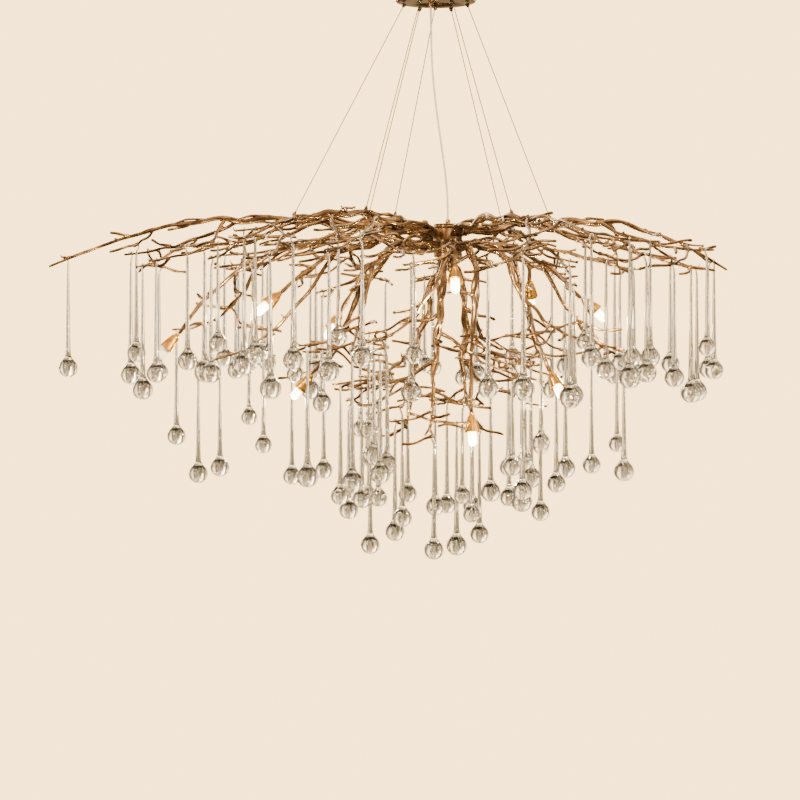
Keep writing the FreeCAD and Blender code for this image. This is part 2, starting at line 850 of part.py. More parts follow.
def nut_top():
    """Height of the dome nuts' upper face, just under the canopy."""
    return canopy_face() - size("seat_gap")


def make_bracket():
    """The cross bar at the ceiling: two slots for the fixing screws and two studs."""
    body = body_of("ceiling_bracket")
    bar = outline(body, "bar_outline", "XY_Plane",
                  (rectangle("0", "0", "Sizes.bracket_width", "Sizes.bracket_length"),))
    pad(body, "bar", bar, "Sizes.bracket_thickness")
    middles = ("Sizes.slot_spacing / 2", "0 - Sizes.slot_spacing / 2")
    reach = "(Sizes.slot_length - Sizes.slot_width)"
    slots = outline(body, "slot_outlines", "XY_Plane",
                    [rectangle("0", y, "Sizes.slot_width", reach) for y in middles])
    pocket(body, "slots", slots)
    ends = circles(body, "slot_end_circles", "XY_Plane",
                   [("0", "%s %s %s / 2" % (y, sign, reach), "Sizes.slot_width / 2")
                    for y in middles for sign in ("+", "-")])
    pocket(body, "slot_ends", ends)
    studs = circles(body, "stud_circles", "XY_Plane",
                    [("0", side + "Sizes.stud_spacing / 2", "Sizes.stud_diameter / 2")
                     for side in ("", "0 - ")])
    pad(body, "studs", studs, "Sizes.canopy_depth + Sizes.seat_gap + Sizes.nut_height / 2")


def make_dome_nuts():
    """Two closed nuts that hold the canopy up on the bracket's studs."""
    solids = []
    for side in (-1.0, 1.0):
        top = (0.0, side * size("stud_spacing") / 2.0, nut_top())
        nut = turned(top, (0.0, 0.0, -1.0), ((0.0, size("nut_width") / 2.0),
                                             (0.7 * size("nut_height"), size("nut_width") / 2.0),
                                             (size("nut_height"), 0.3 * size("nut_width"))))
        bore = Part.makeCylinder(size("stud_diameter") / 2.0 + size("stud_hole_clearance"),
                                 size("nut_height") / 2.0 + size("seat_gap"),
                                 vector(top), FreeCAD.Vector(0, 0, -1))
        solids.append(nut.cut(bore).Solids[0])
    group("canopy_dome_nuts", solids)


# Cables and cord

def cable_ends():
    """Each cable's name, its point under the canopy and its point over the frame."""
    radius = size("cable_ring_diameter") / 2.0
    ends = []
    for name, angle, part in CABLES:
        limb = growth.pieces["limb_" + name][0]
        seat, _, thick, _ = point_at(limb, part)
        turn = math.radians(angle)
        top = (radius * math.cos(turn), radius * math.sin(turn), canopy_face())
        ends.append((name, top, add(seat, (0.0, 0.0, thick))))
    ends.append(("centre", (0.0, 0.0, canopy_face()), post_top))
    return ends


def make_cables():
    """Seven steel cables, each between a bushing under the canopy and a lug on the frame."""
    bushings = []
    lugs = []
    for name, top, seat in cable_ends():
        down = unit(sub(seat, top))
        lean = math.sqrt(1.0 - down[2] * down[2])
        start = sub(top, (0.0, 0.0, size("seat_gap") + lean * size("bushing_width") / 2.0))
        end = add(seat, (0.0, 0.0, 2.0 * size("seat_gap") + lean * size("lug_width") / 2.0))
        along = unit(sub(end, start))
        cable_top = add(start, scaled(along, size("bushing_length")))
        cable_end = sub(end, scaled(along, size("lug_length")))
        bushings.append(prism("bushing_" + name, start, along, "Sizes.bushing_width",
                              "Sizes.bushing_length"))
        lugs.append(prism("lug_" + name, cable_end, along, "Sizes.lug_width", "Sizes.lug_length"))
        span = sub(cable_end, cable_top)
        cable = prism("cable_" + name, cable_top, along, "Sizes.cable_diameter", math.sqrt(dot(span, span)))
        cable.Label = "cable_" + name
        kept(cable)
    for name, parts in (("cable_bushings", bushings), ("cable_lugs", lugs)):
        holder = doc.addObject("Part::Compound", name)
        holder.Label = name
        holder.Links = parts
        kept(holder)


# Route of the power cord between its two glands, chosen by hand: share of the way down, then the
# distance that it stands off the straight line, in X and in Y
CORD_ROUTE = ((0.09, 0.0, 0.0), (0.24, -2.6, -1.2), (0.39, -4.2, -2.0), (0.54, -4.0, -1.6),
              (0.69, -2.2, -0.4), (0.83, 0.0, 0.8), (0.92, 0.2, 0.3))


def cord_points():
    gland = size("gland_length")
    top = (size("gland_offset_x"), size("gland_offset_y"),
           canopy_face() - 2.0 * size("seat_gap") - gland)
    axis = hub_axis()
    end = (axis[0], axis[1], axis[2] + gland + 2.0 * size("seat_gap"))
    points = [top]
    for share, off_x, off_y in CORD_ROUTE:
        point = between(top, end, share)
        ease = share * share * (3.0 - 2.0 * share)
        points.append((top[0] + (end[0] - top[0]) * ease + off_x,
                       top[1] + (end[1] - top[1]) * ease + off_y, point[2]))
    return points + [end]


def cord_path(points):
    """Straight runs joined by tangent arcs as large as the runs allow, and the arcs' radii."""
    edges = []
    radii = []
    here = vector(points[0])
    for a, b, c in zip(points, points[1:], points[2:]):
        before, after = unit(sub(b, a)), unit(sub(c, b))
        turn = math.acos(min(1.0, dot(before, after)))
        runs = [math.sqrt(dot(sub(b, a), sub(b, a))), math.sqrt(dot(sub(c, b), sub(c, b)))]
        cut = 0.45 * min(runs)
        radii.append(cut / math.tan(turn / 2.0))
        start, end = sub(b, scaled(before, cut)), add(b, scaled(after, cut))
        bulge = unit(sub(after, before))
        rise = radii[-1] * (1.0 / math.cos(turn / 2.0) - 1.0)
        middle = add(b, scaled(bulge, rise))
        edges.append(Part.LineSegment(here, vector(start)).toShape())
        edges.append(Part.Arc(vector(start), vector(middle), vector(end)).toShape())
        here = vector(end)
    edges.append(Part.LineSegment(here, vector(points[-1])).toShape())
    return Part.Wire(edges), radii


def make_cord():
    """The power cord between the canopy's gland and the hub's."""
    points = cord_points()
    wire, radii = cord_path(points)
    first = unit(sub(points[1], points[0]))
    across = unit(cross(first, (0.0, 1.0, 0.0)))
    corners = ring(points[0], across, cross(across, first), size("cord_diameter") / 2.0, 6)
    section = Part.makePolygon([vector(p) for p in corners + corners[:1]])
    cord = wire.makePipeShell([section], True, False)
    expected = Part.Face(section).Area * wire.Length
    print("cord length %.1f, volume %.1f, section by length %.1f" % (wire.Length, cord.Volume, expected))
    print("cord radii", [round(r) for r in radii])
    feature("power_cord", cord)


def make_glands():
    down = (0.0, 0.0, -1.0)
    top = (size("gland_offset_x"), size("gland_offset_y"), canopy_face() - size("seat_gap"))
    axis = hub_axis()
    hub_top = add(axis, (0.0, 0.0, size("seat_gap")))
    gland = prism("canopy_gland", top, down, "Sizes.gland_width", "Sizes.gland_length")
    kept(gland)
    up_gland = prism("hub_gland", hub_top, (0.0, 0.0, 1.0), "Sizes.gland_width", "Sizes.gland_length")
    kept(up_gland)


# Hub

def make_hub():
    """A drum with its lid on a spigot, and the terminal block on the drum's floor."""
    outer = "Sizes.hub_diameter / 2"
    inner = outer + " - Sizes.hub_wall"
    base = "0 - Sizes.hub_top_depth - Sizes.hub_height"
    rim = "0 - Sizes.hub_top_depth - Sizes.lid_thickness"
    axis = "Sizes.hub_offset_x"
    shell = round_bar("drum_outside", HUB_SIDES, outer, axis, base, "Sizes.hub_height - Sizes.lid_thickness")
    room = round_bar("drum_room", HUB_SIDES, inner, axis, base + " + Sizes.hub_floor", "Sizes.hub_height")
    kept(joined("Part::Cut", "hub_drum", shell, room))
    plate = round_bar("lid_plate", HUB_SIDES, outer, axis, rim + " + Sizes.seat_gap",
                      "Sizes.lid_thickness - Sizes.seat_gap")
    spigot = round_bar("lid_spigot", HUB_SIDES, inner + " - 2 * Sizes.seat_gap", axis,
                       rim + " - Sizes.lid_spigot", "Sizes.lid_spigot + Sizes.seat_gap")
    kept(joined("Part::Fuse", "hub_lid", plate, spigot))
    block = doc.addObject("Part::Box", "terminal_block")
    block.Label = "terminal_block"
    for side, words in (("Length", "terminal_length"), ("Width", "terminal_width"),
                        ("Height", "terminal_height")):
        block.setExpression(side, "Sizes." + words)
    block.setExpression("Placement.Base.x", "Sizes.hub_offset_x - Sizes.terminal_length / 2")
    block.setExpression("Placement.Base.y", "0 - Sizes.terminal_width / 2")
    block.setExpression("Placement.Base.z", base + " + Sizes.hub_floor + Sizes.seat_gap")
    kept(block)


# Lamps

def make_lamps():
    """Brass cups on the arms' ends, a ceramic holder in each and a plug-in bulb in each holder."""
    cups = []
    holders = []
    length = size("cup_length")
    recess = length - size("cup_recess")
    wall = size("cup_wall")
    slope = (size("cup_mouth_radius") - size("cup_shoulder_radius")) / (length - 8.0)
    floor_radius = size("cup_shoulder_radius") + slope * (recess - 8.0) - wall
    seat = recess + size("seat_gap")
    socket_floor = seat + size("holder_length") - size("socket_depth")
    for number, (_, neck, aim) in enumerate(growth.lamps, start=1):
        foot = add(neck, scaled(aim, size("seat_gap")))
        cups.append(turned(foot, aim, ((0.0, size("cup_neck_radius")), (8.0, size("cup_shoulder_radius")),
                                       (length, size("cup_mouth_radius")),
                                       (length, size("cup_mouth_radius") - wall),
                                       (recess, floor_radius))))
        holders.append(turned(foot, aim, ((seat, size("holder_radius")),
                                          (seat + size("holder_length"), size("holder_radius")),
                                          (seat + size("holder_length"), size("socket_radius")),
                                          (socket_floor, size("socket_radius")))))
        base = socket_floor + size("seat_gap")
        top = seat + size("holder_length") + 1.0
        glass = size("bulb_radius")
        tip = base + size("bulb_length")
        plug = size("socket_radius") - size("bulb_base_clearance")
        feature("bulb_%d" % number,
                turned(foot, aim, ((base, plug), (top, plug), (top, glass), (tip - 0.6 * glass, glass),
                                   (tip, 0.45 * glass))))
    group("lamp_cups", cups)
    group("lamp_holders", holders)


def make_frame():
    for name, paths in growth.pieces.items():
        feature(name, one_piece(paths))


def side_of(hook):
    """Which group of still drops a hook's place belongs to."""
    depth = "front" if hook[1] < 0.0 else "back"
    return depth + ("_left" if hook[0] < size("hub_offset_x") else "_right")


def make_drops():
    """Each swinging drop in its own node, the others in four groups."""
    masters = {kind: drop_solid(kind) for kind in ("long", "medium", "short")}
    groups = {}
    for _, hook, along, kind, moving in growth.drops:
        solid = seated(masters[kind], hook, along)
        if moving:
            feature("end_drop_" + moving.replace("limb_", ""), solid)
        else:
            groups.setdefault("drops_" + side_of(hook), []).append(solid)
    for name in sorted(groups):
        group(name, groups[name])


def check_and_write():
    """Stops on a failed feature or shape, then writes one file per sub-part."""
    doc.recompute()
    for item in doc.Objects:
        if "Invalid" in item.State or "Error" in item.State:
            raise RuntimeError("%s failed: %s" % (item.Label, item.State))
    for node in NODES:
        if node.Shape.isNull() or not node.Shape.isValid():
            raise RuntimeError(node.Label + " has no valid shape")
    os.makedirs("parts", exist_ok=True)
    for node in NODES:
        node.Shape.exportStep(os.path.join("parts", node.Label + ".step"))
    print("wrote", len(NODES), "sub-parts,", len(growth.drops), "drops")


make_bracket()
make_canopy()
make_dome_nuts()
make_cables()
make_glands()
make_cord()
make_hub()
make_frame()
make_lamps()
make_drops()
check_and_write()
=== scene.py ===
"""A branch chandelier: cast limbs hung on steel cables, clear glass drops and small lamps."""
from math import atan2, cos, degrees, dist, pi, radians, sin, sqrt
from types import SimpleNamespace

import bpy
import numpy as np
from bpy.props import FloatProperty, FloatVectorProperty, PointerProperty
from bpy.types import Operator, Panel, PropertyGroup
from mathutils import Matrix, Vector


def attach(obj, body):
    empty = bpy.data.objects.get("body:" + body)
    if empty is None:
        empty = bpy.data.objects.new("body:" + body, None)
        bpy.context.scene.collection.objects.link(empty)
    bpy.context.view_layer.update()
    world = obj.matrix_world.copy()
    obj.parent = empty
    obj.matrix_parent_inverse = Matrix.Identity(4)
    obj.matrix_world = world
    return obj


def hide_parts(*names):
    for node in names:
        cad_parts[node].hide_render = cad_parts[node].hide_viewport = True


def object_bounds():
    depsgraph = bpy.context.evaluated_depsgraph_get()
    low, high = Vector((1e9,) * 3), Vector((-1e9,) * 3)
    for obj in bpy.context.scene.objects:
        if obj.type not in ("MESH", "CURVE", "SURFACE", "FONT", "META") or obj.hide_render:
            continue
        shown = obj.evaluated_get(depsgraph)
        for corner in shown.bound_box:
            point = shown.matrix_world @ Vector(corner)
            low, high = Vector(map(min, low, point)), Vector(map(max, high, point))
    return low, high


bl_info = {
    "name": "Branch chandelier",
    "version": (1, 0, 0),
    "blender": (4, 5, 0),
    "location": "3D View > Sidebar > Chandelier",
    "description": "Builds the chandelier's limbs, glass drops, lamps, cables and its plain stage",
    "category": "Add Mesh",
}

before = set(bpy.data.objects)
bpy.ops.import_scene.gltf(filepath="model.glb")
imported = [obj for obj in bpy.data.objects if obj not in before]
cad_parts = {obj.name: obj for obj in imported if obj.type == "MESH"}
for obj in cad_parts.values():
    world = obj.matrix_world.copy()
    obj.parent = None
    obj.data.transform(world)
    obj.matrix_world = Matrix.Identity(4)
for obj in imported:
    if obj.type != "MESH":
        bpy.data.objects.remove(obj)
CAD_BOUNDS = [list(corner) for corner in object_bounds()]
MM = 0.001

# Sizes of the model in millimetres, as the solids have them
size = SimpleNamespace(
    canopy_diameter=140, canopy_depth=27, canopy_wall=1.2, stud_spacing=100,
    nut_width=8, nut_height=6, cable_ring_diameter=108, cable_diameter=1.6,
    bushing_width=8, bushing_length=7, lug_width=8, lug_length=9, cord_diameter=3.6,
    gland_width=10, gland_length=8, gland_offset_x=-9, gland_offset_y=-6,
    hub_offset_x=21, hub_diameter=50, hub_top_depth=411, hub_height=57, hub_wall=2,
    hub_floor=3, lid_thickness=3, lid_spigot=4, upper_row_depth=16, arm_row_depth=38,
    trunk_circle_diameter=27, limb_root_radius=5.4, limb_tip_radius=2.4, twig_tip_radius=2.1,
    arm_root_radius=4.6, arm_tip_radius=3.6, cup_length=34, cup_neck_radius=4.4,
    cup_shoulder_radius=7.6, cup_mouth_radius=13.5, cup_recess=15, holder_radius=7.6,
    holder_length=12, socket_radius=5.6, socket_depth=9, bulb_base_clearance=0.4,
    bulb_radius=7.5, bulb_length=34, hook_rod_radius=1.3, hook_drop=11, seat_gap=0.3,
    running_gap=2)
# Length of each kind of drop, and radius of its ball
DROPS = {"long": (232, 18), "medium": (205, 16.5), "short": (176, 15)}

UP = (0, 0, 1)
DOWN = (0, 0, -1)
# Middle of the hub's top, and height of the canopy's flat lower face
HUB = (size.hub_offset_x, 0, -size.hub_top_depth)
CANOPY_FACE = -size.canopy_depth


# Vectors as plain tuples

def add(a, b):
    return (a[0] + b[0], a[1] + b[1], a[2] + b[2])


def sub(a, b):
    return (a[0] - b[0], a[1] - b[1], a[2] - b[2])


def scaled(a, k):
    return (a[0] * k, a[1] * k, a[2] * k)


def moved(a, way, far):
    return add(a, scaled(way, far))


def raised(a, height):
    return (a[0], a[1], a[2] + height)


def dot(a, b):
    return a[0] * b[0] + a[1] * b[1] + a[2] * b[2]


def cross(a, b):
    return (a[1] * b[2] - a[2] * b[1], a[2] * b[0] - a[0] * b[2], a[0] * b[1] - a[1] * b[0])


def norm(a):
    return sqrt(dot(a, a))


def unit(a):
    return scaled(a, 1 / norm(a))


def between(a, b, part):
    return moved(a, sub(b, a), part)


def heading_vector(heading, dip=0):
    """The unit vector at that heading from +X, pointing down by dip degrees."""
    flat = cos(radians(dip))
    turn = radians(heading)
    return (flat * cos(turn), flat * sin(turn), -sin(radians(dip)))


def square_to(along, steep):
    """A unit vector square to along and to +Z, or to +X where along's Z is steep or more."""
    return unit(cross(along, UP if abs(along[2]) < steep else (1, 0, 0)))


# How the frame grows: limbs, lamp arms and trunks, then side boughs, twigs and drops.
# Points and heights in these tables are taken from the middle of the hub's top.

# name, tip (x, y, z), height of the limb's back, side sway, then its cable's angle on the canopy
# and place along the limb
UPPER_LIMBS = (
    ("left", (-689, -25, -75), 23, 16, 180, 0.43),
    ("front_left", (-326, -478, -55), 11, -18, 240, 0.46),
    ("front_right", (227, -492, -61), 7, 16, 300, 0.47),
    ("right", (487, 18, -79), 19, -14, 0, 0.40),
    ("back_right", (241, 470, -63), 19, 18, 60, 0.46),
    ("back_left", (-351, 462, -57), 21, -16, 120, 0.44),
)
# neck of the cup (x, y, z), heading and dip of the lamp, length and fall of the arm's bough
LAMP_ARMS = (
    ((-285, -104, -123), 204, 42, 235, -165),
    ((-182, -175, -159), 236, 50, 225, -160),
    ((9, -127, -79), 268, 60, 230, -190),
    ((149, 152, -91), 110, 50, 225, -180),
    ((-240, 130, -259), 165, 35, 205, -110),
    ((39, -75, -326), 290, 65, 130, -60),
    ((171, -117, -257), 300, 35, 190, -80),
    ((235, 37, -127), 5, 42, 245, -150),
    ((-470, 26, -189), 190, 60, 150, -110),
)
UNLIT_LAMP = 9
# name, tip (x, y, z), side sway
TRUNKS = (
    ("left", (-101, 45, -369), 10),
    ("front", (-41, -112, -365), -10),
    ("right", (64, 72, -357), 12),
)
# Steps of a limb or trunk and of an arm; length of a root's straight stub, height of the kinks
LIMB_STEPS = 7
ARM_STEPS = 5
ROOT_STUB = 12
KINK = 2.5
# Places along a limb's span where its curve's two handles stand over it
LIMB_HANDLES = (0.33, 0.72)
# Handles of an arm's curve, out and up from its root and back from its neck, as shares of its reach
ARM_HANDLES = (0.45, 0.12, -0.3)
# Handles of a trunk's curve, out and up from its root and from its tip
TRUNK_HANDLES = ((60, -70), (-80, 14))
# Place on the left limb of the post for the centre cable, and the post's height
POST_PLACE = 0.2
POST_HEIGHT = 20
# Way kept free before a bulb's tip
PULL_ROOM = 14

# Branches by the kind of path that they grow on: place on the path, yaw, length, fall
LIMB_BOUGHS = ((0.42, 31, 280, -52), (0.54, -32, 245, -58))
LIMB_TWIGS = ((0.58, 55, 96, -46), (0.74, -52, 110, -26), (0.87, 46, 84, -22))
BOUGH_TWIGS = ((0.45, 52, 92, -40), (0.78, -48, 86, -26))
ARM_TWIGS = ((0.72, -68, 92, -30),)
FALLING_TWIGS = ((0.50, -52, 88, -34), (0.85, 55, 70, -16))
TRUNK_BOUGHS = ((0.46, 70, 165, -62), (0.58, -60, 150, -50))
TRUNK_TWIGS = ((0.70, 130, 104, -24), (0.80, -110, 92, -20), (0.90, 20, 74, -14))
# Place and yaw of an arm's bough, how far a branch turns, where its hook hangs on the last run
ARM_BOUGH = (0.62, 30)
BRANCH_CURL = 14
HOOK_SHARE = 0.75
# Radius of a branch's root as a share of its parent's, and how uneven the branches are
ROOT_SHARE = 0.74
UNEVEN = 0.13
# Yaws tried for a branch, as shares: as drawn, mirrored, then narrower and wider
YAW_SHARES = (1, -1, 0.7, -0.7, 1.35, -1.35)


# A path is a list of (point, radius); a piece of frame is a list of paths

def bezier(a, b, c, d, part):
    """The point at part of the cubic curve from a to d with the handles b and c."""
    rest = 1 - part
    weights = (rest ** 3, 3 * rest * rest * part, 3 * rest * part * part, part ** 3)
    return tuple(weights[0] * p + weights[1] * q + weights[2] * r + weights[3] * s
                 for p, q, r, s in zip(a, b, c, d))


def curved_path(root, out, corner, handle, tip, steps, radii, sway):
    """A straight root stub along out, then a cubic to the tip that wanders sideways by sway."""
    stub = moved(root, out, ROOT_STUB)
    across = unit(cross(sub(tip, root), (0.3, 0.2, 1)))
    path = [(root, radii[0])]
    for step in range(steps + 1):
        part = step / steps
        bend = sway * sin(2.6 * pi * part) * sin(pi * part)
        kink = KINK * sin(2.4 * step + sway) * sin(pi * part)
        point = add(bezier(stub, corner, handle, tip, part), raised(scaled(across, bend), kink))
        path.append((point, radii[0] + (radii[1] - radii[0]) * part))
    return path


def point_at(path, part):
    """Point, direction, radius and segment number at part of the path's points."""
    place = part * (len(path) - 1)
    index = min(int(place), len(path) - 2)
    (a, ra), (b, rb) = path[index], path[index + 1]
    share = place - index
    return between(a, b, share), unit(sub(b, a)), ra + (rb - ra) * share, index


def branch_path(parent, part, yaw, length, fall, curl, steps, tip_radius):
    """A branch off a path: it falls steeply at first and ends level, turning by curl degrees."""
    place, along, radius, _ = point_at(parent, part)
    heading = degrees(atan2(along[1], along[0])) + yaw
    root_radius = max(ROOT_SHARE * radius, tip_radius)
    path = [(place, root_radius)]
    for step in range(steps):
        middle = (step + 0.5) / steps
        out = heading_vector(heading + curl * middle)
        sink = fall * (2 - 2 * middle) / steps
        place = add(place, raised(scaled(out, length / steps), sink))
        share = (step + 1) / steps
        path.append((place, root_radius + (tip_radius - root_radius) * share))
    return path


def held(value):
    return min(1, max(0, value))


def capsule_gap(one, two):
    """Distance between the skins of two capsules, each (end, end, radius)."""
    (p, q, r), (s, t, u) = one, two
    d1, d2, w = sub(q, p), sub(t, s), sub(p, s)
    a, b, c, d, e = dot(d1, d1), dot(d1, d2), dot(d2, d2), dot(d1, w), dot(d2, w)
    wide = a * c - b * b
    tiny = 1e-9
    x = held((b * e - c * d) / wide) if wide > tiny else 0
    y = held((b * x + e) / c) if c > tiny else 0
    x = held((b * y - d) / a) if a > tiny else 0
    return norm(sub(moved(p, d1, x), moved(s, d2, y))) - r - u


def near(one, two, margin):
    """False where two capsules are surely further apart than margin."""
    reach = one[2] + two[2] + margin
    return not any(min(a, b) - max(c, d) > reach or min(c, d) - max(a, b) > reach
                   for a, b, c, d in zip(*one[:2], *two[:2]))


def clear(capsules, taken, margin):
    """True where no capsule comes closer than margin to a taken one."""
    return not any(near(one, two, margin) and capsule_gap(one, two) < margin
                   for one in capsules for two in taken)


def capsules_of(path, first=0):
    return [(path[i][0], path[i + 1][0], max(path[i][1], path[i + 1][1]))
            for i in range(first, len(path) - 1)]


class Growth:
    """The frame's paths by piece, the room that is taken, the lamps, and the drops by node."""

    def __init__(self):
        self.pieces, self.taken, self.drops = {}, {}, {}
        self.hooks, self.lamps = [], []

    def keep(self, name, capsules):
        self.taken.setdefault(name, []).extend(capsules)

    def take(self, name, path):
        self.pieces.setdefault(name, []).append(path)
        self.keep(name, capsules_of(path))

    def owners(self, *kinds):
        return [name for name in self.pieces if name.startswith(kinds)]

    def others(self, name):
        return [c for owner, kept in self.taken.items() if owner != name for c in kept]

    def grow(self, name, parent, part, yaws, length, fall, curl, steps, tip_radius):
        """Adds the first branch of the yaws that stays clear, and returns it."""
        index = point_at(parent, part)[3]
        skip = capsules_of(parent[max(0, index - 1):index + 3])
        own = [c for c in self.taken[name] if c not in skip]
        others = self.others(name)
        for yaw in yaws:
            turn = curl if yaw > 0 else -curl
            path = branch_path(parent, part, yaw, length, fall, turn, steps, tip_radius)
            outer_half = (between(path[0][0], path[1][0], 0.5), path[1][0], path[0][1])
            if (clear(capsules_of(path), others, size.running_gap)
                    and clear([outer_half] + capsules_of(path, 1), own, size.running_gap)):
                self.take(name, path)
                return path
        return None


growth = Growth()


def root_on_wall(tip, row_depth):
    """Root point and outward direction on the hub's wall, facing the tip."""
    out = unit((tip[0] - HUB[0], tip[1] - HUB[1], 0))
    reach = size.hub_diameter / 2 + size.seat_gap
    return raised(moved(HUB, out, reach), -row_depth), out


def main_paths():
    """The six upper limbs, the nine lamp arms and the three trunks."""
    limb = (LIMB_STEPS, (size.limb_root_radius, size.limb_tip_radius))
    arm = (ARM_STEPS, (size.arm_root_radius, size.arm_tip_radius))
    for name, far, back, sway, _, _ in UPPER_LIMBS:
        tip = add(HUB, far)
        root, out = root_on_wall(tip, size.upper_row_depth)
        span = sub(tip, root)
        corner, handle = ((root[0] + share * span[0], root[1] + share * span[1], HUB[2] + back)
                          for share in LIMB_HANDLES)
        growth.take("limb_" + name, curved_path(root, out, corner, handle, tip, *limb, sway))
    for number, (far, heading, dip, _, _) in enumerate(LAMP_ARMS, start=1):
        neck = add(HUB, far)
        root, out = root_on_wall(neck, size.arm_row_depth)
        reach = norm(sub(neck, root))
        away, lift, back = (share * reach for share in ARM_HANDLES)
        corner = raised(moved(root, out, away), lift)
        handle = moved(neck, heading_vector(heading, dip), back)
        name = "lamp_arm_%d" % number
        path = curved_path(root, out, corner, handle, neck, *arm, 0)
        growth.take(name, path)
        growth.lamps.append((name, path[-1][0], unit(sub(path[-1][0], path[-2][0]))))
    for name, far, sway in TRUNKS:
        tip = add(HUB, far)
        out = unit((far[0], far[1], 0))
        floor = -size.hub_height - size.seat_gap
        root = raised(moved(HUB, out, size.trunk_circle_diameter / 2), floor)
        corner, handle = (raised(moved(end, out, away), lift)
                          for end, (away, lift) in zip((root, tip), TRUNK_HANDLES))
        growth.take("trunk_" + name, curved_path(root, DOWN, corner, handle, tip, *limb, sway))


def lamp_room():
    """Keeps the place of each cup and of its bulb, pulled out as well."""
    for name, neck, aim in growth.lamps:
        mouth = moved(neck, aim, size.cup_length)
        tip = moved(mouth, aim, size.bulb_length + PULL_ROOM)
        growth.keep("cup of " + name, [(neck, mouth, size.cup_mouth_radius),
                                       (mouth, tip, size.bulb_radius)])


def centre_post():
    """The short upright stub beside the hub that the centre cable pulls on; returns its top."""
    foot, _, radius, _ = point_at(growth.pieces["limb_left"][0], POST_PLACE)
    top = raised(foot, POST_HEIGHT)
    growth.take("limb_left", [(foot, 0.7 * radius), (top, 0.6 * radius)])
    return top


def uneven(value, number, turn):
    """A value made uneven from twig to twig."""
    return value * (1 + UNEVEN * sin(2.3 * number + 1.7 * turn))


def branches(name, parent, pattern, turn, steps=2):
    """The branches of a pattern that find room on a path, each with a hook near its tip."""
    grown = []
    tip_radius = size.twig_tip_radius if steps == 2 else size.limb_tip_radius
    for number, (part, yaw, length, fall) in enumerate(pattern):
        yaw = uneven(yaw, number, turn)
        path = growth.grow(name, parent, part, [share * yaw for share in YAW_SHARES],
                           uneven(length, number, turn), uneven(fall, number, turn + 1),
                           BRANCH_CURL, steps, tip_radius)
        if path is not None:
            growth.hooks.append((name, path, steps - 1, HOOK_SHARE))
            grown.append(path)
    return grown


def side_growth():
    """Boughs first, then twigs, grown where there is room."""
    plans = [(owner, turn, LIMB_BOUGHS, 4, BOUGH_TWIGS)
             for turn, owner in enumerate(growth.owners("limb"))]
    place, yaw = ARM_BOUGH
    for turn, (owner, row) in enumerate(zip(growth.owners("lamp"), LAMP_ARMS)):
        bough = (place, yaw if turn % 2 else -yaw, *row[3:])
        plans.append((owner, turn, (bough,), 3, FALLING_TWIGS))
    plans += [(owner, turn, TRUNK_BOUGHS, 3, BOUGH_TWIGS)
              for turn, owner in enumerate(growth.owners("trunk"))]
    boughs = [(owner, bough, twigs, turn) for owner, turn, pattern, steps, twigs in plans
              for bough in branches(owner, growth.pieces[owner][0], pattern, turn, steps)]
    for row in boughs:
        branches(*row)
    for kind, pattern in (("limb", LIMB_TWIGS), ("lamp", ARM_TWIGS), ("trunk", TRUNK_TWIGS)):
        for turn, owner in enumerate(growth.owners(kind)):
            branches(owner, growth.pieces[owner][0], pattern, turn)


# Drops. Direction of the hook's crown from its middle, where the twig runs through
HOOK_CROWN = 107.5
# Room in the hook, as a share of a limb's radius at its tip, and from the middle to the rod
HOOK_SLACK = 1.2
HOOK_INSIDE = HOOK_SLACK * size.limb_tip_radius + size.seat_gap
# Radius of the twig that would touch nothing but the gap under the hook's crown
HOOK_PLAY = (HOOK_INSIDE - size.seat_gap) / sin(radians(HOOK_CROWN))
# Radius of the neck, as a share of the ball's, and room kept round a stem and round a hook
NECK_RADIUS = 0.27
STEM_ROOM = 3.2
HOOK_ROOM = 6.9
# Room to the branch that a drop hangs on, and between a hook and the other branches
OWN_ROOM = 1
# Swing of an end drop each way, its place on the last run, and the orders of kinds to try
SWING = 8
END_PLACE = 0.6
KINDS = (("medium", "long", "short"), ("long", "medium", "short"), ("medium", "short", "long"),
         ("short", "medium", "long"))


def drop_room(hook, along, kind, angles):
    """Capsules of a drop's stem and ball at each angle of swing about its twig."""
    length, ball = DROPS[kind]
    side = cross(along, DOWN)
    room = []
    for angle in angles:
        turn = radians(angle)
        down = moved(scaled(DOWN, cos(turn)), side, sin(turn))
        top = moved(hook, down, size.hook_drop)
        centre = moved(hook, down, length - ball)
        middle = between(top, centre, 0.5)
        room += [(top, middle, STEM_ROOM), (middle, centre, NECK_RADIUS * ball),
                 (centre, centre, ball)]
    return room


def still_node(hook):
    """The node of still drops that a hook's place belongs to."""
    return "drops_%s_%s" % ("front" if hook[1] < 0 else "back",
                            "left" if hook[0] < size.hub_offset_x else "right")


def hang(place, kinds, angles, moving_name):
    """Hangs the first kind of drop that has room at that place."""
    _, path, index, share = place
    (a, thick), (b, thin) = path[index], path[index + 1]
    along = unit((b[0] - a[0], b[1] - a[1], 0))
    sag = HOOK_PLAY - (thick + (thin - thick) * share)
    if moving_name:
        sag -= 2 * size.seat_gap
    hook = raised(between(a, b, share), -sag)
    ring = (hook, hook, HOOK_ROOM)
    own = capsules_of(path)
    others = [c for kept in growth.taken.values() for c in kept if c not in own]
    if not clear([ring], others, OWN_ROOM):
        return False
    for kind in kinds:
        room = drop_room(hook, along, kind, angles)
        if clear(room, others, size.running_gap) and clear(room, own, OWN_ROOM):
            growth.keep("drops", room + [ring])
            node = moving_name or still_node(hook)
            growth.drops.setdefault(node, []).append((hook, along, kind))
            return True
    return False


